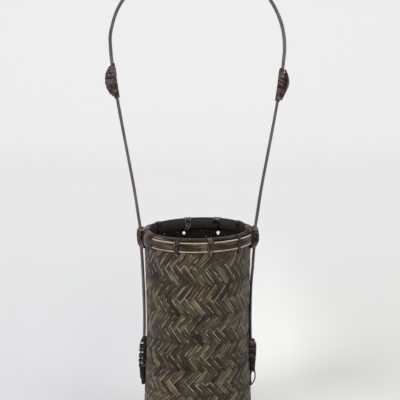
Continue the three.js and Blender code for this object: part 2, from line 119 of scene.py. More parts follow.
# Puts tubes into one mesh. rings holds tubes x steps x sides x xyz in mm, or one tube's steps x sides x xyz.
# Each face runs round the section and then along the tube, or the other way where that is what points it
# outwards. A closed tube meets its own start, and an open one has its two ends filled.
# The grain attribute is each point's own place in its strip: across, depth (both -1 to 1) and centimetres
# along. The strip attribute is a number of its own for each tube. Tones and hues can be one number, one for
# each step, or an array over all points.
def makePiece(name, rings, section, finish, body, slot, replaced, closed=False, tones=0.5, hue=0.5,
              smooth=0.6, lengths=None):
    rings = rings.reshape(-1, *rings.shape[-3:])
    tubes, steps, sides = rings.shape[:3]
    numbers = np.arange(tubes * steps * sides).reshape(tubes, steps, sides)
    nextSide = np.roll(numbers, -1, axis=2)
    quads = np.stack([numbers, nextSide, np.roll(nextSide, -1, axis=1), np.roll(numbers, -1, axis=1)], -1)
    quads = quads[:, :steps if closed else steps - 1].reshape(-1, 4)
    middles = rings.mean(axis=2)
    spokes = rings - middles[:, :, None]
    areas = np.cross(spokes, np.roll(spokes, -1, axis=2)).sum(axis=2)
    way = 1 if (areas * np.gradient(middles, axis=1)).sum() > 0 else -1
    loops, sizes = quads[:, ::way].ravel(), np.full(len(quads), 4)
    if not closed:
        caps = np.concatenate([numbers[:, 0, ::-way], numbers[:, -1, ::way]])
        loops = np.concatenate([loops, caps.ravel()])
        sizes = np.concatenate([sizes, np.full(len(caps), sides)])
    mesh = bpy.data.meshes.new(name)
    mesh.vertices.add(rings.size // 3)
    mesh.vertices.foreach_set("co", (rings * metresPerMm).astype(np.float32).ravel())
    mesh.loops.add(len(loops))
    mesh.loops.foreach_set("vertex_index", loops.astype(np.int32))
    mesh.polygons.add(len(sizes))
    mesh.polygons.foreach_set("loop_start", (np.cumsum(sizes) - sizes).astype(np.int32))
    mesh.polygons.foreach_set("use_smooth", np.ones(len(sizes), bool))
    mesh.update(calc_edges=True)
    lengths = lengthAlong(middles) if lengths is None else lengths
    grain = np.zeros(rings.shape)
    grain[..., 0], grain[..., 1], grain[..., 2] = section[:, 0], section[:, 1], lengths[..., None] / 10
    mesh.attributes.new("grain", "FLOAT_VECTOR", "POINT").data.foreach_set(
        "vector", grain.astype(np.float32).ravel()
    )
    strips = (0.618 * np.arange(tubes) + 0.0137 * sum(name.encode())) % 1
    for layer, values in (("tone", tones), ("hue", hue), ("strip", strips[:, None, None])):
        values = values[None, :, None] if np.ndim(values) == 1 else values
        whole = (values + np.zeros(rings.shape[:3])).astype(np.float32)
        mesh.attributes.new(layer, "FLOAT", "POINT").data.foreach_set("value", whole.ravel())
    mesh.set_sharp_from_angle(angle=smooth)
    mesh.validate()
    piece = bpy.data.objects.new(name, mesh)
    bpy.context.scene.collection.objects.link(piece)
    mesh.materials.append(finish)
    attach(piece, body)
    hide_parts(*replaced)


# Finishes

def newFinish(name):
    finish = bpy.data.materials.new(name)
    finish.use_nodes = True
    return finish, finish.node_tree


# Adds a node; each value is a number, a colour or another node's output
def addNode(tree, kind, values=None, **settings):
    made = tree.nodes.new(kind)
    for key, value in settings.items():
        setattr(made, key, value)
    for key, value in (values or {}).items():
        if isinstance(value, bpy.types.NodeSocket):
            tree.links.new(value, made.inputs[key])
        else:
            made.inputs[key].default_value = value
    return made


def addMath(tree, operation, first, second=0.5):
    return addNode(tree, "ShaderNodeMath", {0: first, 1: second}, operation=operation).outputs[0]


def addMix(tree, share, first, second, blend="MIX"):
    first, second = [(*colour, 1) if isinstance(colour, tuple) else colour for colour in (first, second)]
    made = addNode(tree, "ShaderNodeMix", {0: share, 6: first, 7: second}, data_type="RGBA", blend_type=blend)
    return made.outputs[2]


def addRange(tree, value, low, high, newLow=0.0, newHigh=1.0):
    places = {0: value, 1: low, 2: high, 3: newLow, 4: newHigh}
    return addNode(tree, "ShaderNodeMapRange", places, interpolation_type="SMOOTHSTEP").outputs[0]


def addRamp(tree, value, stops):
    ramp = addNode(tree, "ShaderNodeValToRGB", {0: value})
    elements = ramp.color_ramp.elements
    while len(elements) < len(stops):
        elements.new(0.5)
    for element, (place, colour) in zip(elements, stops):
        element.position = place
        element.color = (*colour, 1)
    return ramp.outputs[0]


def addLayer(tree, name, output="Fac"):
    return addNode(tree, "ShaderNodeAttribute", attribute_name=name).outputs[output]


# The grain attribute whole, and its parts across and in depth
def addGrain(tree):
    grain = addLayer(tree, "grain", "Vector")
    parts = addNode(tree, "ShaderNodeSeparateXYZ", {0: grain}).outputs
    return grain, parts[0], parts[1]


# Noise on the grain attribute that follows the strip, fine across and slow along, shifted for each strip.
# Each noise is named in a look as (across, along, detail, roughness).
def addStreaks(tree, grain, across, along, detail, roughness):
    shift = addMath(tree, "MULTIPLY", addLayer(tree, "strip"), 97.0)
    shifted = addNode(tree, "ShaderNodeCombineXYZ", {0: shift, 1: shift, 2: shift}).outputs[0]
    terms = {0: grain, 1: (across, across, along), 2: shifted}
    place = addNode(tree, "ShaderNodeVectorMath", terms, operation="MULTIPLY_ADD").outputs[0]
    noise = {"Vector": place, "Scale": 1.0, "Detail": detail, "Roughness": roughness}
    return addNode(tree, "ShaderNodeTexNoise", noise).outputs[0]


driftNoise = (0.15, 0.28, 2.0, 0.5)


# A strip's colour: its tone, a lead and the stains and fibres are summed and read on a ramp, and that is
# multiplied by a tint. The tint drifts slowly along the strip, towards olive for hues above 0.5 and towards
# purple below it.
def addColour(tree, grain, look, lead, stains, fibres):
    mixed = addMath(tree, "ADD", lead, addRange(tree, stains, 0.34, 0.66, -look["stain"], look["stain"]))
    mixed = addMath(tree, "ADD", mixed, addRange(tree, fibres, 0.35, 0.65, -look["fibre"], look["fibre"]))
    colour = addRamp(tree, addMath(tree, "ADD", addLayer(tree, "tone"), mixed), look["tones"])
    hue = addMath(tree, "SUBTRACT", addLayer(tree, "hue"), 0.5)
    drift = addMath(tree, "ADD", addStreaks(tree, grain, *driftNoise), hue)
    return addMix(tree, 1.0, colour, addRamp(tree, drift, look["tints"]), "MULTIPLY")


# Joins a finish together. A look's bump is its strength, and how far in metres the height stands up.
def endFinish(finish, look, colour, rough, height):
    tree = finish.node_tree
    shader = tree.nodes["Principled BSDF"]
    strength, distance = look["bump"]
    bump = addNode(tree, "ShaderNodeBump", {"Strength": strength, "Distance": distance, "Height": height})
    tree.links.new(colour, shader.inputs["Base Color"])
    tree.links.new(rough, shader.inputs["Roughness"])
    tree.links.new(bump.outputs[0], shader.inputs["Normal"])
    shader.inputs["Specular IOR Level"].default_value = look["gloss"]
    return finish


# Smoked bamboo splints. Tones run from dark to pale, tints from purplish over brown to olive. The sides and
# the inner face begin and are full at shares of the half width or half depth. Rubbing is how patches turn
# into worn edges: where it begins and is full, and how strong it is. The inner face is painted nearly black,
# as painted shade inside the basket.
splintLook = {
    "tones": [(0.0, (0.009, 0.008, 0.008)), (0.25, (0.020, 0.017, 0.014)), (0.5, (0.041, 0.035, 0.028)),
              (0.75, (0.076, 0.067, 0.051)), (1.0, (0.150, 0.138, 0.104))],
    "tints": [(0.36, (1.08, 0.92, 0.96)), (0.49, (1.18, 0.97, 0.72)), (0.62, (1.02, 1.03, 0.74))],
    # inside is the inner face's colour: painted shade inside the basket, nearly black
    "paleEdge": (0.46, 0.40, 0.28), "paintedEdgeShade": (0.008, 0.006, 0.005), "inside": (0.013, 0.011, 0.010),
    "fibreNoise": (6.5, 0.3, 5.0, 0.7), "streakNoise": (2.2, 0.25, 3.0, 0.6),
    "stainNoise": (0.6, 0.6, 3.0, 0.5), "patchNoise": (0.2, 1.1, 3.0, 0.6),
    "nearSide": (0.7, 0.88), "nearRubbing": (0.42, 0.62, 0.0, 0.95),
    "farSide": (-0.9, -0.97), "farRubbing": (0.5, 0.66, 0.0, 0.6),
    # The dark edge is painted shade along one edge of each splint, beside its neighbour
    "paintedShadeSide": (-0.62, -0.9), "paintedShadeShare": 0.85, "shadedInnerFace": (0.3, -0.3),
    "streak": 0.3, "stain": 0.18, "fibre": 0.14, "roughness": (0.38, 0.65), "gloss": 0.2,
    "bump": (0.6, 0.0003),
}


# Streaks lead the colour; over it lie a painted shaded edge, pale rubbed edges and a painted-shade inner face
def makeSplintFinish():
    look = splintLook
    finish, tree = newFinish("smokedSplint")
    grain, across, depth = addGrain(tree)
    fibres, streaks, stains, patches = [
        addStreaks(tree, grain, *look[noise])
        for noise in ("fibreNoise", "streakNoise", "stainNoise", "patchNoise")
    ]
    lead = addRange(tree, streaks, 0.37, 0.63, -look["streak"], look["streak"])
    colour = addColour(tree, grain, look, lead, stains, fibres)
    near, far = [
        addMath(tree, "MULTIPLY", addRange(tree, across, *look[side]), addRange(tree, patches, *look[worn]))
        for side, worn in (("nearSide", "nearRubbing"), ("farSide", "farRubbing"))
    ]
    # Painted shade along one edge of each splint
    dark = addMath(tree, "MULTIPLY", addRange(tree, across, *look["paintedShadeSide"]), look["paintedShadeShare"])
    colour = addMix(tree, dark, colour, look["paintedEdgeShade"])
    colour = addMix(tree, addMath(tree, "MAXIMUM", near, far), colour, look["paleEdge"])
    # The inner face painted nearly black: painted shade inside the basket
    colour = addMix(tree, addRange(tree, depth, *look["shadedInnerFace"]), colour, look["inside"])
    return endFinish(finish, look, colour, addRange(tree, stains, 0.3, 0.7, *look["roughness"]), fibres)


# Hoops of split bamboo: dark skin with grain round the ring, and pale edges where the skin was shaved off.
# Their inner face is painted dark as shade, darkest at the foot.
hoopLook = {
    "tones": [(0.15, (0.010, 0.006, 0.004)), (0.5, (0.030, 0.019, 0.010)), (1.0, (0.115, 0.088, 0.060))],
    "tints": [(0.34, (1.04, 0.97, 1.14)), (0.5, (1.06, 0.98, 0.96)), (0.66, (1.02, 1.02, 0.86))],
    "shaved": (0.50, 0.42, 0.325), "amber": (0.13, 0.085, 0.04), "worn": (0.15, 0.14, 0.12),
    # inside and insideShade paint the inner face dark as shade, darkest at the foot
    "inside": (0.056, 0.051, 0.044), "foot": (-0.92, -0.97), "shadedInnerFace": (0.0, -0.5),
    "insideShade": [(0.0, (0.45, 0.45, 0.45)), (1.0, (1.0, 1.0, 1.0))],
    "fibreNoise": (8.0, 0.25, 6.0, 0.7), "streakNoise": (3.0, 0.3, 3.0, 0.6),
    "stainNoise": (0.6, 0.45, 3.0, 0.5),
    "streak": 0.3, "stain": 0.2, "fibre": 0.12, "roughness": (0.44, 0.62), "gloss": 0.1,
    "bump": (0.5, 0.0002),
}


# The shaved edges start at shares of the half width, top and foot, and strength is how pale they get
def makeHoopFinish(name, top, foot, shaved, strength):
    look = hoopLook
    finish, tree = newFinish(name)
    grain, across, depth = addGrain(tree)
    fibres, streaks, stains = [
        addStreaks(tree, grain, *look[noise]) for noise in ("fibreNoise", "streakNoise", "stainNoise")
    ]
    lead = addRange(tree, streaks, 0.34, 0.66, -look["streak"], look["streak"])
    colour = addColour(tree, grain, look, lead, stains, fibres)
    upper = addRange(tree, across, top - 0.03, top + 0.04)
    rim = addMath(tree, "MAXIMUM", upper, addRange(tree, across, 0.03 - foot, -0.04 - foot))
    worn = addMath(tree, "MULTIPLY", rim, addRange(tree, stains, 0.3, 0.6, 0.7 * strength, strength))
    colour = addMix(tree, worn, colour, shaved)
    colour = addMix(tree, addRange(tree, across, *look["foot"]), colour, look["amber"])
    # Painted shade on the inner face, darkest at the foot and lighter towards the top
    shade = addRamp(tree, addRange(tree, across, -0.9, 0.7), look["insideShade"])
    paintedInnerShade = addMix(tree, 1.0, look["inside"], shade, "MULTIPLY")
    colour = addMix(tree, addRange(tree, depth, *look["shadedInnerFace"]), colour, paintedInnerShade)
    return endFinish(finish, look, colour, addRange(tree, rim, 0.0, 1.0, *look["roughness"]), fibres)


# Rattan and cane: dark strands with grey or pinkish crowns, partly wear and partly painted highlight, edges
# darkened with painted shade, and fine lengthwise pores
def makeCaneFinish(name, look):
    finish, tree = newFinish(name)
    grain, across, depth = addGrain(tree)
    fibres = addStreaks(tree, grain, *look["fibreNoise"])
    stains = addStreaks(tree, grain, *look["stainNoise"])
    # Paler crown: wear and painted highlight; darker edges: painted shade
    crown = addRange(tree, depth, look["crownFrom"], 1.0, 0.0, look["crown"])
    edge = addRange(tree, addMath(tree, "ABSOLUTE", across), 0.45, 0.95, 0.0, look["edge"])
    colour = addColour(tree, grain, look, addMath(tree, "SUBTRACT", crown, edge), stains, fibres)
    return endFinish(finish, look, colour, addRange(tree, stains, 0.3, 0.7, *look["roughness"]), fibres)


# What the canes have in common unless they say otherwise
caneLook = {"crownFrom": 0.2, "fibre": 0.14, "stainNoise": (0.5, 0.7, 3.0, 0.55), "bump": (0.4, 0.00015)}
rattanLook = {
    **caneLook,
    "tones": [(0.0, (0.006, 0.004, 0.004)), (0.13, (0.010, 0.006, 0.006)), (0.5, (0.032, 0.021, 0.022)),
              (1.0, (0.190, 0.158, 0.155))],
    "tints": [(0.38, (1.08, 0.9, 1.0)), (0.5, (1.24, 0.92, 0.84)), (0.62, (0.95, 1.04, 0.86))],
    "fibreNoise": (4.0, 0.5, 5.0, 0.65), "stainNoise": (0.5, 2.6, 3.0, 0.55),
    "crown": 0.14, "edge": 0.36, "stain": 0.28, "roughness": (0.37, 0.57), "gloss": 0.2,
}
fillerLook = {
    **caneLook,
    "tones": [(0.0, (0.005, 0.003, 0.002)), (0.13, (0.007, 0.004, 0.002)), (0.5, (0.019, 0.010, 0.005)),
              (1.0, (0.200, 0.140, 0.110))],
    "tints": [(0.35, (1.0, 0.95, 0.9)), (0.65, (1.15, 0.95, 0.8))],
    "fibreNoise": (5.0, 0.5, 5.0, 0.65), "crown": 0.05, "edge": 0.0, "stain": 0.2, "roughness": (0.42, 0.62),
    "gloss": 0.15,
}
handleLook = {
    **caneLook,
    "tones": [(0.0, (0.014, 0.010, 0.009)), (0.13, (0.052, 0.042, 0.035)), (0.5, (0.105, 0.089, 0.074)),
              (1.0, (0.230, 0.200, 0.160))],
    "tints": [(0.35, (1.02, 0.96, 1.0)), (0.65, (1.0, 1.0, 0.92))],
    "fibreNoise": (3.0, 0.5, 5.0, 0.65), "crown": 0.0, "edge": 0.0, "stain": 0.16, "roughness": (0.36, 0.56),
    "gloss": 0.4,
}
barLook = {
    **caneLook,
    "tones": [(0.0, (0.030, 0.022, 0.015)), (0.13, (0.035, 0.026, 0.018)), (0.5, (0.095, 0.074, 0.047)),
              (1.0, (0.200, 0.165, 0.110))],
    "tints": [(0.35, (1.05, 0.95, 0.95)), (0.65, (1.0, 1.02, 0.88))],
    "fibreNoise": (6.0, 0.5, 5.0, 0.65), "crown": 0.05, "edge": 0.1, "stain": 0.2, "roughness": (0.47, 0.67),
    "gloss": 0.3,
}


# Liner: dark moulded plastic with a very fine grit and faint handling marks. Each noise is (scale, detail).
linerLook = {
    "tones": [(0.35, (0.012, 0.012, 0.012)), (0.7, (0.022, 0.021, 0.020))], "gritNoise": (1500.0, 3.0),
    "markNoise": (60.0, 4.0), "roughness": (0.4, 0.58), "gloss": 0.5, "bump": (0.15, 0.00008),
}


def makeLinerFinish():
    look = linerLook
    finish, tree = newFinish("linerPlastic")
    place = addNode(tree, "ShaderNodeTexCoord").outputs["Object"]
    grit, marks = [
        addNode(tree, "ShaderNodeTexNoise", {"Vector": place, "Scale": scale, "Detail": detail}).outputs[0]
        for scale, detail in (look["gritNoise"], look["markNoise"])
    ]
    rough = addRange(tree, marks, 0.3, 0.7, *look["roughness"])
    return endFinish(finish, look, addRamp(tree, marks, look["tones"]), rough, grit)


splintFinish = makeSplintFinish()
outerHoopFinish = makeHoopFinish("outerHoopBamboo", 0.8, 0.69, hoopLook["shaved"], 0.95)
innerHoopFinish = makeHoopFinish("innerHoopBamboo", 0.9, 0.9, hoopLook["worn"], 0.8)
rattanFinish = makeCaneFinish("darkRattan", rattanLook)
knotFinish = makeCaneFinish("dullRattan", {**rattanLook, "roughness": (0.47, 0.67), "gloss": 0.08})
fillerFinish = makeCaneFinish("redFiller", fillerLook)
handleFinish = makeCaneFinish("handleCane", handleLook)
barFinish = makeCaneFinish("floorBarBamboo", barLook)
linerFinish = makeLinerFinish()
print("finishes made")


# Puts one strip of the basket in place
def layStrip(name, node, rings, section=rattanSection, finish=rattanFinish, slot="rattan", **more):
    makePiece(name, rings, section, finish, "basket", slot, [node], **more)


# Woven wall and floor

weave = {
    "splints": 40,  # in each direction
    "cover": 0.968,  # share of the spacing that a splint fills
    "thickness": 0.52,
    "swing": 0.44,  # how far a splint stands out from, or behind, the wall's middle
    "turnOver": 0.42,  # share of a crossing in which it changes side
    "crown": 0.14,  # extra swell in the middle of a float
    "steps": 196,
    "floorStart": 2.0,  # length from the floor's edge at which the splints begin
    "rimStop": 203.2,
    "bands": (8.8901e-5, -8.9514e-2, 14.2184),  # bands below the rim, as a square function of height
    "inset": 0.7,  # from the outline to the wall's middle line
    "fineStep": 0.25,  # between the middle line's points
    "softReach": 12,  # points on each side that soften it
    "softWidth": 3.2,  # width of that softening in points
    "wobbles": [(0.12, 17.0), (0.08, 7.3)],  # sideways waves of each splint: mm, length
    "coverWave": (0.012, 11.0),  # wave of its width: share, length
    "liftSpread": 0.03,
    "grainStretch": 1.4,
    "toneSpread": 0.12,
    "seed": 11,
}
# Places where the wall is made darker or lighter: azimuth, height, reach in mm, change of tone, change of hue
stains = [
    (-50.0, 176.0, 17.0, -0.17, -0.14), (20.0, 180.0, 15.0, 0.09, 0.08), (-17.0, 69.0, 14.0, -0.13, -0.12),
    (9.0, 70.0, 17.0, 0.09, 0.12), (-50.0, 105.0, 15.0, 0.02, -0.14), (17.0, 106.0, 13.0, -0.02, 0.14),
    (45.0, 165.0, 14.0, -0.04, -0.06), (40.0, 60.0, 14.0, 0.08, 0.0), (-30.0, 130.0, 18.0, 0.04, 0.08),
    (-4.0, 176.0, 13.0, 0.09, 0.04), (-2.0, 48.0, 15.0, 0.13, 0.06),
]
# Painted shadow on the wall where the side canes lie against it: the left one along its binding, the right
# one higher up too
stains += [(-89.0, float(height), 6.0, -0.26, 0.0) for height in range(46, 96, 7)]
stains += [(85.0, float(height), 7.0, -0.26, 0.0) for height in range(46, 166, 7)]
bodyHeight = 204.8
rimRadius = 53.0
outlineShares = [
    (0.0, 0.934), (0.0063, 0.985), (0.022, 1.015), (0.06, 1.025), (0.176, 1.0226), (0.283, 1.0057),
    (0.391, 0.987), (0.488, 0.9755), (0.586, 0.9736), (0.708, 0.981), (0.83, 0.9925), (0.918, 1.0),
    (1.0, 1.0),
]

# The wall's middle under the foot, from the floor's edge outwards, as rows of [radius, height]
underFoot = np.array([[37.2, 6.2], [38.9, 6.1], [45.2, 1.02], [49.0, 0.92]])


def wallRadius(height):
    return rimRadius * smoothRead(outlineShares, np.asarray(height) / bodyHeight)


# The wall's middle line by length, from the floor's edge down under the foot and up to the rim, softened a
# little. At levelMark up, length and height are the same.
def makeMeridian():
    heights = np.concatenate([[1.6, 2.6], np.arange(4, 205, 2.0)])
    points = np.concatenate([underFoot, np.stack([wallRadius(heights) - weave["inset"], heights], 1)])
    marks = lengthAlong(points)
    even = np.arange(0, marks[-1], weave["fineStep"])
    reach = weave["softReach"]
    spread = np.exp(-0.5 * (np.arange(-reach, reach + 1) / weave["softWidth"]) ** 2)
    line = readAt(marks, points, even)
    padded = np.pad(line, ((reach, reach), (0, 0)), mode="reflect", reflect_type="odd")
    soft = np.stack([np.convolve(column, spread / spread.sum(), "valid") for column in padded.T], 1)
    levelMark = 100
    return even - np.interp(levelMark, soft[:, 1], even) + levelMark, soft


meridianMarks, meridianLine = makeMeridian()
meridianNormal = unit(np.gradient(meridianLine, meridianMarks, axis=0)) @ np.array([[0, -1], [1, 0]])


# A point of the wall: azimuth from the front, length up the meridian, and how far it stands out from it
def wallPoint(azimuth, mark, lift):
    columns = (*meridianLine.T, *meridianNormal.T)
    radius, height, outward, upward = [np.interp(mark, meridianMarks, column) for column in columns]
    radius = radius + lift * outward
    return np.stack([radius * np.sin(azimuth), -radius * np.cos(azimuth), height + lift * upward], -1)


# Broad stains at the back and on the sides, and small ones all round
def scatterStains():
    random = np.random.default_rng(weave["seed"])
    broad = random.uniform([85, 10, 12, -0.14, -0.14], [275, 190, 20, 0.1, 0.14], (22, 5))
    small = random.uniform([0, 8, 3.5, -0.24, -0.1], [360, 196, 7, 0.24, 0.1], (190, 5))
    return [tuple(row) for row in np.concatenate([broad, small])]


aroundStains = scatterStains()


# Twist of the splints in splint spacings, so that three crossings fill a band. Below the foot it goes on
# evenly.
def twist(mark):
    a, b, c = weave["bands"]
    up = np.maximum(mark, 0)
    return 1.25 - 1.5 * (a * up * up + b * mark + c)


# 1 on the crossings that are less than one and a half away, -1 on the others, changing over smoothly
def twillSide(away, turnOver):
    return np.sin(pi / 2 * np.clip((1.5 - away) / turnOver, -1, 1))


# How far out the rising splints lie: outside on three crossings and inside on the next three
def overUnder(crossing):
    away = np.abs(wrapped(crossing - 1, 6))
    swell = np.where(away < 1.5, 1 - (away / 1.5) ** 2, -(1 - ((3 - away) / 1.5) ** 2))
    return weave["swing"] * twillSide(away, weave["turnOver"]) + weave["crown"] * swell


splintSection = np.array([
    [-0.95, -1], [0, -1], [0.95, -1], [1, -0.2], [0.95, 0.7], [0.6, 1], [0.2, 1], [-0.2, 1], [-0.6, 1],
    [-0.95, 0.7], [-1, -0.2],
])

# Each lashing: azimuth in degrees, turns, height at which it goes through the wall, height and half width of
# the hole it made there, tone, hue, how far it leans aside at the top in mm, and how much paler it is painted
# there as a highlight. The seventh's pale tone, inside at the back, is a painted highlight too.
lashings = [
    (-66.5, 5, 192.6, 192.0, 0.7, 0.8, 0.49, 0.0, 0.0), (-21.5, 3, 193.2, 192.6, 1.1, 0.46, 0.46, 0.0, 0.05),
    (13.5, 3, 190.0, 189.4, 1.2, 0.46, 0.56, 0.0, 0.1), (47.5, 2, 192.4, 191.8, 1.1, 0.24, 0.52, 0.0, 0.0),
    (124.0, 3, 194.0, 192.6, 0.9, 0.3, 0.5, 0.0, 0.1), (156.3, 4, 194.6, 192.7, 1.6, 0.06, 0.55, 0.0, 0.8),
    (196.1, 4, 194.2, 192.1, 1.3, 0.6, 0.75, -4.2, 0.2), (232.0, 3, 194.0, 192.6, 0.9, 0.3, 0.45, 0.0, 0.1),
]
knotHoleHeight = 190.4
# Places where the splints are parted: azimuth, height, half width
partings = [(azimuth, height, half) for azimuth, _, _, height, half, *_ in lashings]
partings += [(side * 90 + offset, knotHoleHeight, 1.7) for side in (-1, 1) for offset in (-5.0, 5.0)]
# How far a parting reaches: seamArea is in square mm round the spot, and the splints give way along and aside
parting = {"seamArea": 90.0, "along": 4.2, "aside": 7.5, "asideShape": 1.5}


# Moves the splints of one family sideways at each parting: the nearest seam between two splints is drawn to
# the spot, and the two splints beside it give way by the half width, less and less along the splint and away
# from it
def partSplints(azimuth, mark, way, index):
    step = 2 * pi / weave["splints"]
    for degrees, height, half in partings:
        spot, radius = np.radians(degrees), wallRadius(height)
        slope = radius * step * (twist(height + 1) - twist(height - 1)) / 2
        size = np.hypot(1, slope)
        direction = np.array([way * slope, 1]) / size
        across = np.array([1, -way * slope]) / size
        seamAt = spot / step - way * twist(height)
        seam = np.round(seamAt - 0.5) + 0.5
        toSeam = (seam - seamAt) * step * radius / size
        flat = np.stack([wrapped(azimuth - spot, 2 * pi) * radius, mark - height], -1)
        along, aside = flat @ direction, flat @ across - toSeam
        near = np.exp(-((along**2 + aside**2) / parting["seamArea"]))
        sideways = (np.abs(aside) / parting["aside"]) ** parting["asideShape"]
        opening = np.exp(-((along / parting["along"]) ** 2) - sideways)
        push = np.sign(wrapped(index - seam, weave["splints"])) * half * opening - toSeam * near
        azimuth = azimuth + push * across[0] / radius
        mark = mark + push * across[1]
    return azimuth, mark


# Sums the stains and the painted shadow beside the side canes at a point of the wall, each falling off as a
# bell from its middle
def stainAt(azimuth, mark, column):
    total = 0 * azimuth
    for stain in stains + aroundStains:
        turn = wrapped(azimuth - np.radians(stain[0]), 2 * pi)
        away = (turn * rimRadius) ** 2 + (mark - stain[1]) ** 2
        total = total + stain[column] * np.exp(-away / stain[2] ** 2)
    return total


# One family of splints. way is 1 for those that rise to the right and -1 for those that rise to the left.
# Azimuth = spacing * (number + way * twist); the section is laid square to that line, and each point's lift
# comes from which splint of the other family crosses there.
def wallSplints(way):
    random = np.random.default_rng(weave["seed"] + way)
    count, steps = weave["splints"], weave["steps"]
    step = 2 * pi / count
    index = np.arange(count)[:, None, None]
    mark = np.linspace(meridianMarks[0] + weave["floorStart"], weave["rimStop"], steps)[None, :, None]
    radius = np.interp(mark, meridianMarks, meridianLine[:, 0])
    slope = radius * step * (twist(mark + 0.5) - twist(mark - 0.5))
    size = np.hypot(1, slope)
    waves = random.uniform(0, 2 * pi, (count, 1, 1, 3))
    wobble = sum(far * np.sin(mark / run + waves[..., i]) for i, (far, run) in enumerate(weave["wobbles"]))
    share, run = weave["coverWave"]
    cover = weave["cover"] * (1 + share * np.sin(mark / run + waves[..., 2]))
    half = cover * radius * step / size / 2
    x, y = splintSection[:, 0], splintSection[:, 1]
    azimuth = step * (index + way * twist(mark)) + (x * half + wobble) / size / radius
    length = mark - way * (x * half + wobble) * slope / size
    theirs = azimuth / step + way * twist(length)
    crossing = way * (theirs - index)
    lift = way * overUnder(crossing) + random.normal(0, weave["liftSpread"], (count, 1, 1))
    azimuth, length = partSplints(azimuth, length, way, index)
    points = wallPoint(azimuth, length, lift + y * weave["thickness"] / 2)
    tones = random.normal(0.5, weave["toneSpread"], (count, 1, 1)) + stainAt(azimuth, length, 3)
    hues = 0.5 + stainAt(azimuth, length, 4)
    along = np.broadcast_to(mark[..., 0] * weave["grainStretch"], (count, steps))
    return points, np.clip(tones, 0.02, 0.98), hues, along


for way, name in ((1, "wall_splints_rising_right"), (-1, "wall_splints_rising_left")):
    points, tones, hues, along = wallSplints(way)
    makePiece(name, points, splintSection, splintFinish, "basket", "weave", ["woven_body"], tones=tones,
              hue=hues, lengths=along)
print("wall woven")

floorWeave = {
    "radius": 38.4, "width": 6.3, "middle": 6.52, "swing": 0.26, "thickness": 0.42, "steps": 60, "seed": 5,
    "turnOver": 0.45, "cover": 0.96, "sideRows": 5, "toneSpread": 0.14,
}


# The floor's straight splints, in the same twill: each ends where its middle line meets the round edge
def floorSplints(alongX):
    random = np.random.default_rng(floorWeave["seed"] + alongX)
    width, way = floorWeave["width"], 1 if alongX else -1
    rows = np.arange(-floorWeave["sideRows"], floorWeave["sideRows"] + 1)[:, None, None]
    reach = np.sqrt(floorWeave["radius"] ** 2 - (rows * width) ** 2)
    x, y = splintSection[:, 0], splintSection[:, 1]
    run = reach * np.linspace(-1, 1, floorWeave["steps"])[:, None] + 0 * x
    aside = rows * width + x * width * floorWeave["cover"] / 2 + 0 * run
    away = np.abs(wrapped((run / width - rows) * way, 6))
    lift = floorWeave["swing"] * twillSide(away, floorWeave["turnOver"]) * way
    height = floorWeave["middle"] + lift - y * floorWeave["thickness"] / 2
    points = np.stack([run, -aside, height] if alongX else [aside, run, height], -1)
    return points, np.clip(random.normal(0.5, floorWeave["toneSpread"], rows.shape), 0.02, 0.98)


for alongX, name in ((True, "floor_splints_across"), (False, "floor_splints_deep")):
    points, tones = floorSplints(alongX)
    makePiece(name, points, splintSection, splintFinish, "basket", "weave", ["woven_body"], tones=tones)
print("floor woven")


# Rim

# A ring: a closed section of [radius, height] rows turned round the axis, with the grain running round it
def ringPoints(radii, heights, steps):
    turn = np.linspace(0, 2 * pi, steps, endpoint=False)[:, None]
    return np.stack([radii * np.sin(turn), -radii * np.cos(turn), heights + 0 * turn], -1)


# The rim isn't quite level: in front its right half rises and its left half sinks, and so it does at the
# back, where the middle stands up a little too
rimWarp = {"front": 0.45, "back": 0.75, "backMiddle": 0.1}


def warpAt(x, y):
    size = np.maximum(x * x + y * y, 1)
    back = 2 * rimWarp["back"] * x * y / size + rimWarp["backMiddle"] * (y * y / size) ** 2
    return np.where(y < 0, -2 * rimWarp["front"] * x * y / size, back)


def warped(points):
    points[..., 2] += warpAt(points[..., 0], points[..., 1]) * smoothStep(192, 197, points[..., 2])
    return points


# Seams, patches and hues are rows of (degrees, reach in degrees, change)
outerHoop = {
    "inner": 53.3, "outer": 55.5, "low": 195.1, "high": 205.1, "shave": 0.95, "belly": 0.16, "steps": 720,
    "joint": 6.5, "jointSpan": 2.2, "jointRise": 0.14, "jointTone": 0.2, "toneSpan": 2.7,
    "seams": [(place, 0.35, 0.24) for place in (4.3, 6.8, 8.3)],
    # The paler, bluish-grey patch at -38 degrees, with its hue there, is a painted sheen on the left front
    "patches": [
        (-38.0, 13.0, 0.24), (-13.0, 9.0, -0.14), (16.0, 9.0, 0.08), (33.0, 10.0, 0.1), (62.0, 12.0, 0.1),
    ],
    "hues": [(-38.0, 14.0, -0.16), (30.0, 14.0, -0.12), (-12.0, 9.0, 0.05)],
}
innerHoop = {
    "inner": 49.5, "outer": 51.3, "low": 197.0, "high": 208.4, "shave": 0.7, "belly": 0.1, "steps": 320,
}
filler = {
    "ring": 52.8, "height": 206.45, "radius": 1.2, "steps": 300, "sides": 16, "tone": 0.3,
    # The paler patches, on the left front and the right, are painted highlights where the filler catches
    # light
    "patches": [(-44.0, 15.0, 0.52), (38.0, 7.0, 0.22)],
}


# Sums the bells of such rows round the rim
def bells(rows, degrees):
    return sum(size * np.exp(-((wrapped(degrees - place, 360) / reach) ** 2)) for place, reach, size in rows)


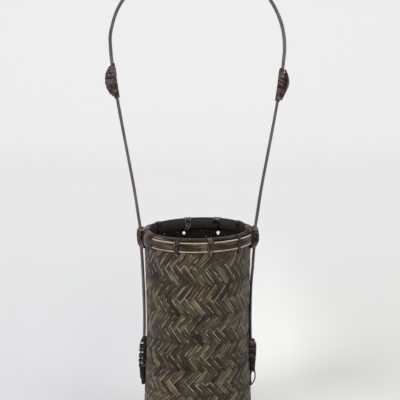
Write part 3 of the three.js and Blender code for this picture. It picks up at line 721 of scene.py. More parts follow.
# A hoop's section, going round from its inner foot: outer face slightly bellied, its two edges shaved at a
# slant
def hoopSection(hoop):
    half, depth, shave = (hoop["high"] - hoop["low"]) / 2, hoop["outer"] - hoop["inner"], hoop["shave"]
    face = np.linspace(-1, 1, 13) * (half - shave) / half
    outer = [(1 - hoop["belly"] * f * f / depth, f) for f in face]
    slant = [(1 - 0.8 * shave / depth, 0.995), (0.55 - 0.2 * shave, 1.0)]
    top = [(1 - 0.28 * shave / depth, 1 - 0.45 * shave / half), *slant]
    foot = [(0.02, -0.97), *[(d, -h) for d, h in reversed(top)]]
    return np.array([*foot, *outer, *top, (0.02, 0.97), (0, 0.93), (0, 0), (0, -0.93)])


def makeHoop(name, hoop, finish, node):
    rows = hoopSection(hoop)
    radii = hoop["inner"] + rows[:, 0] * (hoop["outer"] - hoop["inner"])
    heights = (hoop["low"] + hoop["high"]) / 2 + rows[:, 1] * (hoop["high"] - hoop["low"]) / 2
    points = warped(ringPoints(radii, heights, hoop["steps"]))
    turn = np.linspace(0, 2 * pi, hoop["steps"], endpoint=False)
    tones, hues = 0.5, 0.5
    if "joint" in hoop:
        degrees = wrapped(np.degrees(turn), 360)
        gap = np.abs(degrees - hoop["joint"])
        rise = hoop["jointRise"] * smoothStep(hoop["jointSpan"] + 0.4, hoop["jointSpan"], gap)
        points[..., :2] *= 1 + (rise / hoop["outer"])[:, None, None] * (rows[:, 0] > 0.5)[:, None]
        joint = hoop["jointTone"] * smoothStep(hoop["toneSpan"] + 0.5, hoop["toneSpan"], gap)
        tones = 0.5 + joint + bells(hoop["seams"] + hoop["patches"], degrees)
        hues = 0.5 + bells(hoop["hues"], degrees)
    section = np.stack([rows[:, 1], 2 * rows[:, 0] - 1], 1)
    layStrip(name, node, points, section, finish, "hoop", closed=True, tones=tones, hue=hues, smooth=0.5,
             lengths=turn * hoop["outer"])


# The cane that fills the slot between the hoops
def makeFiller():
    section = roundSection(filler["sides"])
    radii, heights = ([filler["ring"], filler["height"]] + section * filler["radius"]).T
    points = warped(ringPoints(radii, heights, filler["steps"]))
    degrees = np.linspace(0, 360, filler["steps"], endpoint=False)
    layStrip("filler_cane", "rim_filler_cane", points, section, fillerFinish, "filler", closed=True,
             tones=filler["tone"] + bells(filler["patches"], degrees),
             lengths=np.radians(degrees) * filler["ring"])


makeHoop("outer_hoop", outerHoop, outerHoopFinish, "rim_outer_hoop")
makeHoop("inner_hoop", innerHoop, innerHoopFinish, "rim_inner_hoop")
makeFiller()
print("rim made")


# Handle

handle = {
    "radius": 1.5, "archRadius": 1.68, "halfWidth": 84.8, "rise": 82.5, "centre": 388.0, "steps": 900,
    "sides": 14, "rest": 2.475, "rimReach": 57.05, "foot": 43.4, "endRound": 1.2,
    "wobbles": [(0.03, 23.0, 0.0), (0.02, 9.1, 1.0)],  # waves of the radius: share, length in steps, shift
    "arching": (355.0, 388.0),  # heights over which the cane takes the arch's radius
    "paring": (0.2, 101.0, 90.0),  # how much thinner the lower ends are, by a row as below
    # The darkening low down is painted shade where the cane lies against the wall
    "lowShade": 0.46, "lowShadeReach": 8.0,  # how much darker the cane is low down, and over what height
    "leftOut": [(1.2, 384.0, 402.0), (0.8, 408.0, 428.0)],  # how far the arch's left lies further out
    "leftFade": 70.0,
}
# How a side cane departs from the even line, left (-1) and right (1), as rows of (mm or share, height where
# it begins, height where it is full): how far it is drawn in to the wall, how far its foot bends inwards and
# forwards, and how much thinner that is
caneBends = {
    -1: {"drawn": [(0.4, 97.0, 88.0)], "inward": [(0.6, 54.0, 45.0)], "forward": [],
         "thinner": [(0.5, 54.0, 45.0)]},
    1: {"drawn": [(0.83, 172.0, 150.0), (-0.43, 97.0, 91.0)],
        "inward": [(1.9, 62.0, 55.0), (-0.5, 50.0, 44.0)], "forward": [(3.0, 62.0, 55.0)],
        "thinner": [(0.3, 62.0, 55.0)]},
}
# Rows of (share of the body's height, share of the way from the wall to the rim's reach)
lowCane = [
    (0.2, 0.05), (0.293, 0.05), (0.39, 0.08), (0.474, 0.0), (0.527, -0.08), (0.654, -0.05), (0.796, 0.15),
    (0.879, 0.4), (0.935, 0.84), (0.979, 1.08),
]
# Rows of (share of the height from the rim to the arch's centre, share of the way from the rim's reach to the
# arch's half width)
highCane = [
    (0.023, 0.02), (0.0939, 0.085), (0.2287, 0.213), (0.4045, 0.416), (0.5786, 0.6215), (0.7303, 0.791),
    (0.8199, 0.8845), (0.9127, 0.9567),
]


# Sums the steps of such rows at a height
def stepsAt(rows, height):
    return sum(size * smoothStep(begin, full, height) for size, begin, full in rows)


# The handle's centre line in the X-Z plane, from the right foot over the arch to the left foot
def handleLine():
    lowHeight, lowShare = np.array(lowCane).T * [[bodyHeight], [1]]
    wall = wallRadius(lowHeight)
    onWall, onHoop = wall + handle["rest"], wall + handle["rimReach"] - rimRadius
    lowSide = np.stack([onWall + (onHoop - onWall) * lowShare, lowHeight], 1)
    high = np.array(highCane)
    reach = handle["rimReach"] + (handle["halfWidth"] - handle["rimReach"]) * high[:, 1]
    highSide = np.stack([reach, bodyHeight + high[:, 0] * (handle["centre"] - bodyHeight)], 1)
    right = np.concatenate([lowSide, highSide])
    turn = pi * np.arange(17) / 16
    rise = handle["centre"] + handle["rise"] * np.sin(turn)
    arch = np.stack([handle["halfWidth"] * np.cos(turn), rise], 1)
    line = np.concatenate([right, arch, right[::-1] * [-1, 1]])
    curve = curveThrough(np.insert(line, 1, 0, axis=1), handle["steps"])
    curve[:, 0] -= stepsAt(handle["leftOut"], curve[:, 2]) * smoothStep(0, -handle["leftFade"], curve[:, 0])
    return curve


centreLine = handleLine()
sideLine = centreLine[: handle["steps"] // 2]
sideLine = sideLine[sideLine[:, 2] < handle["centre"]]


def drawnIn(side, height):
    return stepsAt(caneBends[side]["drawn"], height)


# The side cane at a height: its centre, and the direction away from the vase
def caneAt(side, height):
    reach, above, below = [np.interp(height + up, sideLine[:, 2], sideLine[:, 0]) for up in (0, 1, -1)]
    zero = 0 * height
    centre = np.stack([side * (reach - drawnIn(side, height)), zero, height], -1)
    return centre, unit(np.stack([side + zero, zero, (below - above) / 2], -1))


# What the bows have in common: their distance from the cane's centre at the ends, waves in depth as (mm,
# length), how much thinner a thin stretch is and over what height, how they are rounded off, and their points
bowShape = {
    "reach": 2.1, "wave": (0.3, 5.0), "thinner": 0.5, "thinOver": 1.5, "endRound": 0.8, "steps": 90,
    "sides": 10,
}
# Each bow: the middle and half of its height, how far it bulges, its own radius, how much a binding follows
# its extra, the height from which it is thin, rows of (height, tone), where it starts and stops, and its
# extra distance from the cane as rows of (height, mm)
plainBow = {"follow": 0, "thinFrom": 400.0}
lowerBow = {**plainBow, "centre": 69.22, "half": 26.5, "bulge": 3.2}
bows = {
    "shoulder_left": {
        **plainBow, "side": -1, "centre": 355.5, "half": 15.5, "bulge": 7.5, "radius": 0.72, "hue": 0.5,
        "start": 341.0, "stop": 370.2,
        # Its lighter stretch round 356 mm is a painted highlight
        "tones": [(341.0, 0.4), (352.0, 0.5), (356.0, 0.85), (361.0, 0.35), (370.0, 0.4)],
        "extra": [(340.0, -0.3), (346.0, 0.0), (364.0, 0.0), (371.0, -0.3)],
    },
    "shoulder_right": {
        **plainBow, "side": 1, "centre": 351.36, "half": 16.0, "bulge": 6.5, "radius": 0.95, "hue": 0.62,
        "start": 336.6, "stop": 367.0,
        "tones": [(336.6, 0.5), (343.0, 0.6), (351.0, 0.95), (357.0, 0.85), (361.5, 0.4), (367.0, 0.2)],
        "extra": [(335.4, 0.3), (338.0, 0.1), (340.0, -0.1), (345.0, -0.2), (349.5, 0.5), (353.0, 1.0),
                  (357.0, 1.1), (363.0, 0.4), (367.4, -0.1)],
    },
    "lower_left": {
        **lowerBow, "side": -1, "radius": 0.75, "hue": 0.45, "thinFrom": 87.0, "start": 51.0, "stop": 93.6,
        "tones": [(51.0, 0.15), (93.6, 0.2)],
        "extra": [(50.0, -0.9), (56.0, -0.6), (60.0, -0.3), (65.0, 0.0), (84.0, 0.0), (88.5, 0.9),
                  (91.5, 0.2), (95.8, -0.5)],
    },
    "lower_right": {
        **lowerBow, "side": 1, "radius": 0.62, "hue": 0.5, "follow": 1, "start": 43.6, "stop": 93.6,
        "tones": [(43.6, 0.1), (93.6, 0.1)],
        "extra": [(43.6, -4.4), (45.0, -3.4), (46.0, -2.6), (48.0, -1.5), (51.0, -0.6), (55.0, -0.3),
                  (60.0, -0.9), (66.0, -0.8), (78.0, -0.1), (90.0, 0.6), (93.0, 0.3), (95.8, -0.3)],
    },
}


# Rounds off the ends of a tube: the radius follows a half circle over the last stretch
def roundedEnds(path, radius, start=True, finish=True):
    along = lengthAlong(path)
    near = np.full(along.shape, np.inf)
    if start:
        near = np.minimum(near, along)
    if finish:
        near = np.minimum(near, along[-1] - along)
    share = np.clip(near / radius, 0, 1)
    return np.sqrt(np.clip(1 - (1 - share) ** 2, 0.02, 1))


def makeHandle():
    section = roundSection(handle["sides"])
    heights = centreLine[:, 2]
    onArch = smoothStep(*handle["arching"], heights)
    radius = handle["radius"] + (handle["archRadius"] - handle["radius"]) * onArch
    place = np.arange(len(centreLine))
    radius = radius * (1 + sum(size * np.sin(place / run + shift) for size, run, shift in handle["wobbles"]))
    radius = radius * (1 - stepsAt([handle["paring"]], heights))
    isRight = (centreLine[:, 0] > 0) & (heights <= bows["shoulder_right"]["centre"])
    isLeft = (centreLine[:, 0] < 0) & (heights <= bows["shoulder_left"]["centre"])
    # Each piece: name, side, its stretch of the line, tone, and the height at which painted shade darkens it
    pieces = [
        ("side_cane_right", 1, isRight, 0.44, 158.0), ("top_arch", 0, ~isRight & ~isLeft, 0.5, 0.0),
        ("side_cane_left", -1, isLeft, 0.46, 92.0),
    ]
    for name, side, stretch, tone, shadeFrom in pieces:
        chosen = stretch & (heights > handle["foot"])
        path = centreLine[chosen]
        size = radius[chosen] * roundedEnds(path, handle["endRound"], side > 0, side < 0)
        if side:
            drawn, inward, forward, thinner = [stepsAt(rows, path[:, 2]) for rows in caneBends[side].values()]
            path[:, 0] -= side * (drawn + inward)
            path[:, 1] -= forward
            size = size * (1 - thinner)
        # Painted shade: darker below that height, where the cane lies against the wall
        reach = handle["lowShadeReach"]
        tones = tone - handle["lowShade"] * smoothStep(shadeFrom + reach, shadeFrom - reach, path[:, 2])
        rings = carried(path, toFront, section, size[:, None])
        layStrip(name, f"handle_{name}", rings, section, handleFinish, "cane", tones=tones, smooth=1.2)


makeHandle()
print("handle made")


# How far a bow stands off the cane's centre at a height, without its extra
def bowReach(bow, height):
    away = np.minimum(np.abs(height - bow["centre"]) / bow["half"], 1)
    return bowShape["reach"] + (bow["bulge"] - bowShape["reach"]) * (1 - away**2)


def makeBow(bow, name, node):
    section = roundSection(bowShape["sides"])
    heights = np.linspace(bow["start"], bow["stop"], bowShape["steps"])
    centre, outward = caneAt(bow["side"], heights)
    reach = bowReach(bow, heights) + smoothRead(bow["extra"], heights) + drawnIn(bow["side"], heights)
    path = centre + outward * reach[:, None]
    far, run = bowShape["wave"]
    path[:, 1] += far * np.sin(heights / run)
    thinFrom = bow["thinFrom"]
    thin = 1 - bowShape["thinner"] * smoothStep(thinFrom, thinFrom + bowShape["thinOver"], heights)
    size = bow["radius"] * roundedEnds(path, bowShape["endRound"]) * thin
    rings = carried(path, toFront, section, size[:, None])
    layStrip(name, node, rings, section, tones=smoothRead(bow["tones"], heights), hue=bow["hue"], smooth=1.2)


for key, bow in bows.items():
    makeBow(bow, key.replace("_", "_strand_"), key.replace("_", "_bow_"))
print("bows made")


# Rattan windings

# Each binding's turns from the top down, as rows of (height, turns to the next row, size at the cane, size at
# the bow, share of the bow's reach, tone). stepping is how far a turn stays level before it goes on to the
# next, slant how far it falls from the cane to the bow, spread how much its tone varies, patches the places
# where the turns are painted lighter as highlights or darker as shade, as rows of (height, side from -1 at
# the cane to 1 at the bow, reach, change of tone), and tucks the strip's own ends, laid along the cane under
# the turns, whose dark tone also stands in for the shade in the gaps between them.
bindings = {
    "shoulder_left": {
        "rows": [
            (371.0, 1, 2.1, 1.7, 0.0, 0.4), (369.4, 1, 2.3, 1.7, 0.45, 0.42),
            (367.6, 1, 2.5, 1.75, 0.85, 0.46), (365.8, 2, 2.8, 1.75, 1.0, 0.46),
            (362.7, 2, 2.8, 1.75, 1.0, 0.42), (359.6, 1, 2.7, 1.75, 1.0, 0.42),
            (357.8, 2, 2.5, 1.75, 1.0, 0.46), (354.6, 3, 2.4, 1.75, 1.0, 0.46),
            (349.6, 4, 2.4, 1.75, 1.0, 0.4), (343.4, 1, 2.4, 1.75, 0.9, 0.3),
            (341.8, 1, 2.3, 1.7, 0.45, 0.34), (340.2, 1, 2.5, 1.7, 0.05, 0.4),
            (338.8, 0, 2.3, 1.7, 0.0, 0.42),
        ],
        "width": 1.9, "seed": 21, "stepping": 0.35, "slant": 0.9, "spread": 0.09, "hue": 0.45,
        # Painted highlights on the paler patches, painted shade on the darker one
        "patches": [(355.6, 1.0, 3.0, 0.34), (360.4, 1.0, 2.4, -0.12), (362.6, -0.7, 1.6, 0.34),
                    (365.4, -0.5, 1.3, 0.22), (370.0, 0.0, 2.5, 0.15)],
        "tucks": [{"low": 344.0, "high": 367.4, "from": 1.5, "to": 0.88, "depth": 0.6, "tone": 0.2}],
    },
    "shoulder_right": {
        "rows": [
            (366.6, 2, 2.5, 1.75, 0.0, 0.4), (363.8, 1, 2.9, 1.75, 0.0, 0.6), (361.8, 1, 2.9, 1.75, 0.2, 0.6),
            (360.0, 2, 2.9, 1.75, 0.26, 0.6), (356.6, 4, 2.8, 1.75, 0.32, 0.5),
            (349.8, 1, 2.6, 1.75, 0.5, 0.42), (347.8, 2, 2.6, 1.75, 0.76, 0.4),
            (344.4, 1, 2.5, 1.75, 0.8, 0.42), (342.4, 1, 2.4, 1.75, 0.66, 0.4),
            (340.4, 1, 2.4, 1.75, 0.42, 0.44), (338.6, 1, 2.4, 1.7, 0.2, 0.5), (337.0, 1, 2.4, 1.7, 0.0, 0.6),
            (335.6, 0, 2.3, 1.8, 0.0, 0.6),
        ],
        "width": 1.9, "seed": 22, "stepping": 0.35, "slant": 0.7, "spread": 0.15, "hue": 0.5,
        # Painted highlights on the paler patches, painted shade on the darker one
        "patches": [(362.0, 0.0, 4.0, 0.12), (349.0, 1.0, 3.0, -0.2), (337.0, 0.0, 3.0, 0.1)],
        "tucks": [{"low": 339.0, "high": 363.6, "from": 1.5, "to": 0.9, "depth": 0.5, "tone": -0.1}],
    },
    "lower_left": {
        "rows": [
            (94.4, 1, 2.0, 1.7, 0.0, 0.25), (92.8, 1, 2.0, 1.75, 0.15, 0.35), (90.9, 1, 2.0, 1.75, 0.7, 0.45),
            (86.3, 1, 2.0, 1.75, 1.0, 0.36), (83.6, 1, 2.0, 1.75, 1.0, 0.4), (81.4, 1, 2.0, 1.75, 1.0, 0.4),
            (76.4, 1, 2.0, 1.75, 1.0, 0.34), (75.0, 1, 2.0, 1.75, 1.0, 0.34), (70.3, 1, 2.0, 1.75, 1.0, 0.34),
            (69.3, 1, 2.0, 1.75, 1.0, 0.34), (65.2, 1, 2.0, 1.75, 0.9, 0.3), (61.6, 1, 2.0, 1.75, 0.6, 0.14),
            (60.2, 2, 2.0, 1.7, 0.5, 0.12), (56.6, 2, 2.0, 1.7, 0.32, 0.12), (52.6, 2, 2.0, 1.6, 0.14, 0.14),
            (48.8, 1, 2.0, 1.4, 0.0, 0.14), (46.6, 1, 1.8, 1.1, 0.0, 0.14), (44.6, 0, 1.5, 0.9, 0.0, 0.16),
        ],
        "width": 2.9, "seed": 23, "stepping": 0.9, "slant": 0.1, "spread": 0.16, "hue": 0.42, "patches": [],
        "tucks": [{"low": 47.6, "high": 93.4, "from": -2.3, "to": -1.1, "depth": 0.9, "tone": 0.05}],
    },
    "lower_right": {
        "rows": [
            (93.6, 1, 2.0, 1.7, 0.0, 0.25), (92.0, 1, 2.0, 1.75, 0.5, 0.4), (90.0, 1, 2.0, 1.75, 1.0, 0.46),
            (87.8, 5, 2.0, 1.75, 1.0, 0.4), (76.0, 4, 2.0, 1.75, 0.9, 0.36), (67.0, 3, 2.0, 1.75, 0.6, 0.32),
            (61.0, 1, 2.0, 1.75, 0.3, 0.25), (59.0, 0, 2.0, 1.7, 0.2, 0.15),
        ],
        "width": 2.3, "seed": 24, "stepping": 0.0, "slant": 1.3, "spread": 0.16, "hue": 0.42,
        # Painted highlights on the paler patches, painted shade on the darker one
        "patches": [(88.6, 0.0, 1.6, 0.25), (78.0, -0.6, 8.0, 0.1), (68.0, 0.9, 9.0, -0.12),
                    (86.0, -0.7, 1.5, 0.2)],
        "tucks": [
            {"low": 59.0, "high": 93.0, "from": -2.3, "to": -1.1, "depth": 0.9, "tone": 0.0},
            {"low": 64.0, "high": 90.5, "from": 1.2, "to": 0.8, "depth": 0.5, "tone": 0.0},
        ],
    },
}

# What the bindings have in common: points in a turn, share of a turn in which it steps to the next, random
# spreads of height, fall and size, the strip's thickness, how far the far side's middle lies inside the bow's
# reach, the least of it, and how wide round the turn a patch of painted highlight or shade is
winding = {
    "perTurn": 30, "stepOver": 0.18, "heightSpread": 0.25, "fallSpread": 0.2, "sizes": (0.97, 1.07),
    "thickness": 0.84, "inside": 0.4, "leastFar": 0.8, "patchWidth": 0.7,
}


# Uneven values along a winding: a new random value at every half turn, and straight lines between them
def uneven(random, turn, low, high):
    marks = np.arange(int(2 * turn[-1]) + 2) / 2
    return np.interp(turn, marks, random.uniform(low, high, len(marks)))


# The strip's end under the turns: a flat strip in the plane of the handle, from a fixed distance beside the
# cane's centre to a share of the bow's reach, or between two fixed distances on the wall's side. Its dark
# tone also stands in for the shade in the gaps between the turns.
def makeTuck(name, bow, tuck, node):
    heights = np.linspace(tuck["low"], tuck["high"], 50)
    centre, outward = caneAt(bow["side"], heights)
    whole = bowReach(bow, heights) + smoothRead(bow["extra"], heights)
    stop = tuck["to"] * whole if tuck["to"] > 0 else tuck["to"] + 0 * heights
    path = centre + outward * ((tuck["from"] + stop) / 2)[:, None]
    halves = np.stack([np.abs(stop - tuck["from"]) / 2, tuck["depth"] + 0 * heights], 1)
    layStrip(name, node, carried(path, toFront, rattanSection, halves), tones=tuck["tone"])


# A binding: a strip wound round the cane and its bow. Reach = far * share + size * cos(turn), offset =
# size * sin(turn), where share goes from 0 at the cane to 1 at the bow, so that the turn is a long oval
def makeBinding(name, bow, binding, node):
    random = np.random.default_rng(binding["seed"])
    rows = np.array(binding["rows"])
    counts = np.concatenate([[0], np.cumsum(rows[:-1, 1])])
    total = counts[-1]
    turn = np.linspace(0, total, int(total) * winding["perTurn"] + 1)
    whole = np.round(turn)
    stepped = whole - 1 + smoothStep(-winding["stepOver"], winding["stepOver"], turn - whole)
    level = np.clip(turn + binding["stepping"] * (stepped - turn), 0, total)
    height, near, wide, part, tone = [np.interp(level, counts, rows[:, column]) for column in (0, 2, 3, 4, 5)]
    height = height + uneven(random, turn, -winding["heightSpread"], winding["heightSpread"])
    angle = 2 * pi * turn + pi
    toBow, toFar = np.cos(angle)[:, None], np.sin(angle)[:, None]
    share = part * smoothStep(-0.4, 0.4, np.cos(angle))
    size = wide + (near - wide) * smoothStep(0.3, -0.8, np.cos(angle))
    size = size * uneven(random, turn, *winding["sizes"])
    extra = smoothRead(bow["extra"], height) * bow["follow"]
    reach = bowReach(bow, height) + extra + drawnIn(bow["side"], height)
    far = share * np.maximum(reach - winding["inside"], winding["leastFar"])
    fall = binding["slant"] * np.cos(angle) + winding["fallSpread"] * uneven(random, turn, -1, 1)
    centre, outward = caneAt(bow["side"], height - fall)
    leans = outward * toBow + [0, 1, 0] * toFar
    path = centre + outward * far[:, None] + leans * size[:, None]
    halves = [binding["width"] / 2, winding["thickness"] / 2]
    tones = tone + uneven(random, turn, -binding["spread"], binding["spread"])
    # Painted highlights and shade on the turns
    for place, across, spot, change in binding["patches"]:
        away = ((height - place) / spot) ** 2 + ((np.cos(angle) - across) / winding["patchWidth"]) ** 2
        tones = tones + change * np.exp(-away)
    layStrip(name, node, carried(path, leans, rattanSection, halves), tones=np.clip(tones, 0, 1),
             hue=binding["hue"])
    for number, tuck in enumerate(binding["tucks"], 1):
        makeTuck(f"{name}_end_{number}", bow, tuck, node)


for key, bow in bows.items():
    makeBinding(key.replace("_", "_winding_"), bow, bindings[key], key.replace("_", "_binding_"))
print("bindings wound")

# The turns' spacing, strip and hoops' foot; how far a turn has gone on by its end and starts back, in turns;
# its random shift, how far later turns lie over earlier ones at the holes, and the spread of tones downwards
# and upwards; the heights between which the painted highlight on the crest comes in; and the turns beside
# lashing 1
lashing = {
    "pitch": 1.85, "width": 1.9, "thickness": 0.48, "foot": 196.6, "seed": 31, "advance": 0.9,
    "startBack": 0.3, "shift": 0.2, "layer": 0.22, "tonesDown": 0.28, "tonesUp": 0.24,
    "highlightHeights": (204.8, 207.8),
    "beside": {"turns": 4, "offset": 8.4, "tone": 0.24, "hue": 0.8, "seed": 44},
}
# One turn over the rim, as rows of (radius, height, lean outwards, lean upwards, share of the full spread).
# Heights under the hoops' foot are stretched to the height of the lashing's own hole.
overRim = [
    (53.6, 190.9, 1.0, -0.5, 0.1), (55.0, 193.4, 1.0, -0.6, 0.4), (55.85, 196.3, 1.0, -0.15, 0.85),
    (55.95, 200.5, 1.0, 0.0, 1.0), (55.8, 204.3, 0.95, 0.3, 1.0), (54.5, 206.8, 0.6, 0.8, 1.0),
    (52.6, 208.2, 0.25, 1.0, 1.0), (50.4, 208.65, -0.2, 1.0, 1.0), (49.2, 207.5, -0.9, 0.5, 1.0),
    (49.0, 202.5, -1.0, 0.0, 1.0), (49.2, 196.5, -1.0, -0.1, 0.8), (50.6, 192.0, -0.9, -0.5, 0.4),
    (51.6, 190.7, -0.7, -0.8, 0.2),
]


def rimPoint(azimuth, offset, radius, height):
    turn = np.radians(azimuth) + offset / rimRadius
    return np.stack([radius * np.sin(turn), -radius * np.cos(turn), height + 0 * turn], -1)


# As rimPoint, on the warped rim
def overPoint(azimuth, offset, radius, height):
    return warped(rimPoint(azimuth, offset, radius, height))


# Smooth strip through control rows of [point, lean]
def stripThrough(points, leans, perRow, width, thickness):
    points, leans = np.array(points), unit(np.array(leans))
    marks = lengthAlong(points)
    fine = np.linspace(0, marks[-1], perRow * len(points))
    halves = [width / 2, thickness / 2]
    return carried(smoothAt(marks, points, fine), readAt(marks, leans, fine), rattanSection, halves)


# Tones along a strip: random values at even places, and straight lines between them
def unevenTones(random, low, high, places, steps):
    values = random.uniform(low, high, places)
    return np.interp(np.linspace(0, 1, steps), np.linspace(0, 1, places), values)


# Turns round both hoops and through the wall, side by side about the azimuth, or about a place beside it by
# the offset in mm. gather is how much they draw together at their holes, lean how far they lean aside at the
# top, and the crest value how much paler they are painted there, as a highlight.
def makeLashing(name, azimuth, turns, hole, tone, hue, node, seed, offset=0.0, gather=1.0, lean=0.0,
                crestHighlight=0.0, finish=rattanFinish):
    random = np.random.default_rng(seed)
    points, leans = [], []
    pitch, foot = lashing["pitch"], lashing["foot"]
    stretch = (foot - hole) / (foot - overRim[-1][1])
    for turn in range(turns):
        shift = random.uniform(-lashing["shift"], lashing["shift"])
        for i, (radius, height, out, up, spread) in enumerate(overRim):
            if height < foot:
                height = foot - (foot - height) * stretch
            spread = 1 - (1 - spread) * gather
            gone = turn + lashing["advance"] * i / len(overRim) - lashing["startBack"]
            aside = pitch * ((1 - turns) / 2 + gone) + lean
            raised = radius + lashing["layer"] * (turn % 3) * (1 - spread) * out
            points.append(overPoint(azimuth, offset + (aside + shift) * spread, raised, height))
            leans.append(rimPoint(azimuth, offset + aside * spread, out, up))
    rings = stripThrough(points, leans, 8, lashing["width"], lashing["thickness"])
    low, high = tone - lashing["tonesDown"], tone + lashing["tonesUp"]
    tones = unevenTones(random, low, high, 4 * turns + 1, len(rings))
    # Painted highlight where the turns cross the top of the rim
    tones = tones + crestHighlight * smoothStep(*lashing["highlightHeights"], rings[:, :, 2].mean(axis=1))
    layStrip(name, node, rings, finish=finish, tones=np.clip(tones, 0.02, 1), hue=hue)


for number, (azimuth, turns, hole, _, _, tone, hue, lean, crestHighlight) in enumerate(lashings, 1):
    makeLashing(f"lashing_strip_{number}", azimuth, turns, hole, tone, hue, f"rim_lashing_{number}",
                lashing["seed"] + number, lean=lean, crestHighlight=crestHighlight)
beside = lashing["beside"]
makeLashing("lashing_strip_1_beside", lashings[0][0], beside["turns"], lashings[0][2], beside["tone"],
            beside["hue"], "rim_lashing_1", beside["seed"], offset=beside["offset"])
print("rim lashed")

# The crossing turns: their count, spacing and strip; ring is their distance from the axis at the hoop and
# crown over the cane, with an extra belly along a power of the way down; tuckIn draws them in at the foot.
# Below are the straps' places and tones, and the ends' taper, half depth and tone. Where there are two
# values, -1 is the left knot and 1 the right one.
knot = {
    "turns": 4, "pitch": 2.2, "near": 1.6, "layer": 0.9, "width": 3.0, "thickness": 0.6, "spread": 5.8,
    "seed": 51, "ring": 55.95, "crown": 58.95, "bellies": {-1: 0.9, 1: 1.5}, "bulgeAt": {-1: 0.6, 1: 1.0},
    "top": 207.8, "drop": 18.4, "tones": {-1: 0.52, 1: 0.26}, "hues": {-1: 0.54, 1: 0.64}, "straps": 6,
    "strapOffset": 10.4, "strapHole": 190.6, "strapGather": 0.3, "strapTones": {-1: 0.26, 1: 0.14},
    # The crest values paint the knots' tops paler, as a highlight
    "crestHighlights": {-1: 0.5, 1: 0.3}, "feet": {-1: 0.1, 1: 0.5}, "highlightHeights": (205.0, 208.0),
    "footHeights": (197.0, 191.0), "points": 7, "tuckIn": 1.8, "jitter": 0.15, "patches": 25,
    "patchTones": (0.15, 0.7), "endTaper": 4.0, "endDepth": 0.6, "endTone": 0.1,
    # Rows of (low, high, inner and outer distance)
    "ends": {
        -1: [(187.4, 196.5, 53.3, 55.6), (204.4, 208.2, 53.9, 56.2), (192.5, 206.0, 57.6, 59.3)],
        1: [(187.4, 196.5, 53.3, 55.6), (204.4, 208.2, 53.9, 56.2), (191.0, 206.0, 57.6, 60.0)],
    },
}


# A rim knot: some turns slant one way over the side cane and as many cross them the other way
def makeKnot(name, side, node):
    random = np.random.default_rng(knot["seed"] + side)
    points, leans = [], []
    reach = knot["near"] + (knot["turns"] - 1) * knot["pitch"]
    span = reach + knot["near"]
    back = overRim[:4:-1]

    def place(offset, layer, radius, height, out, up):
        lift = layer * knot["layer"] / np.hypot(out, up)
        points.append(overPoint(90 * side, offset, radius + lift * out, height + lift * up))
        leans.append(rimPoint(90 * side, offset, out, up))

    for layer, way in enumerate((1, -1)):
        for turn in range(knot["turns"]):
            top = turn * knot["pitch"] - reach
            for share in np.linspace(0, 1, knot["points"]):
                offset = way * (top + span * share)
                near = min(abs(offset) / knot["spread"], 1)
                crown = knot["crown"] + knot["bellies"][side] * np.sin(pi * share ** knot["bulgeAt"][side])
                radius = knot["ring"] + (crown - knot["ring"]) * (1 - near**2)
                radius -= knot["tuckIn"] * smoothStep(0.75, 1.0, share)
                height = knot["top"] - knot["drop"] * share + random.uniform(-knot["jitter"], knot["jitter"])
                place(offset, layer, radius, height, 1, 0.4 - 0.6 * share)
            bottom, last = top + span, turn == knot["turns"] - 1
            if last and layer == 1:
                continue
            following = reach if last else top + knot["pitch"]
            for i, (radius, height, out, up, _) in enumerate(back):
                share = smoothStep(0.3, 0.9, i / (len(back) - 1))
                offset = way * (bottom + (following - bottom) * share)
                place(offset, layer + share * last, radius, height, out, up)
    rings = stripThrough(points, leans, 7, knot["width"], knot["thickness"])
    tones = unevenTones(random, *knot["patchTones"], knot["patches"], len(rings)) + knot["tones"][side]
    heights = rings[:, :, 2].mean(axis=1)
    # Painted highlight on the knot's top
    tones = tones + knot["crestHighlights"][side] / 2 * smoothStep(*knot["highlightHeights"], heights)
    tones = tones + knot["feet"][side] * smoothStep(*knot["footHeights"], heights)
    layStrip(name, node, rings, finish=knotFinish, tones=tones, hue=knot["hues"][side])


# The knot's strip ends, tucked in between the cane and the wall, under the crossing turns, and one that
# tapers on the cane's outer side
def makeKnotEnds(name, side, node):
    for number, (low, high, inner, outer) in enumerate(knot["ends"][side], 1):
        heights = np.linspace(low, high, 12)
        zero = 0 * heights
        outside = inner > handle["rimReach"]
        upright = np.stack([zero, zero, heights], 1)
        taper = roundedEnds(upright, knot["endTaper"]) if outside else 1 + zero
        half = taper * (outer - inner) / 2
        path = np.stack([side * (inner + half), zero, heights], 1)
        rings = carried(path, toFront, rattanSection, np.stack([half, zero + knot["endDepth"]], 1))
        layStrip(f"{name}_{number}", node, rings, finish=knotFinish, tones=knot["endTone"])


# The knot's other turns lie straight over the rim on both sides of the cane
def makeStraps(name, side, node):
    for way, place in ((-1, "before"), (1, "behind")):
        seed = knot["seed"] + 10 * side + way
        makeLashing(f"{name}_{place}", 90 * side, knot["straps"], knot["strapHole"], knot["strapTones"][side],
                    knot["hues"][side], node, seed, offset=side * way * knot["strapOffset"],
                    gather=knot["strapGather"], crestHighlight=knot["crestHighlights"][side], finish=knotFinish)


for side, name in ((-1, "left"), (1, "right")):
    makeKnot(f"knot_{name}_crossings", side, f"rim_knot_{name}")
    makeKnotEnds(f"knot_{name}_end", side, f"rim_knot_{name}")
    makeStraps(f"knot_{name}_straps", side, f"rim_knot_{name}")
print("knots tied")


# Bars under the floor, and the liner

floorBars = {
    "width": 8.0, "thickness": 1.5, "offset": 16.0, "ends": 46.0, "tip": 2.5, "tipRound": 2.7, "steps": 60,
}
# Each bar: whether it runs from left to right, side of the middle, height of its underside, tone
barRows = {
    "front": (True, -1, 2.1, 0.4), "back": (True, 1, 2.1, 0.55), "left": (False, -1, 3.9, 0.6),
    "right": (False, 1, 3.9, 0.45),
}


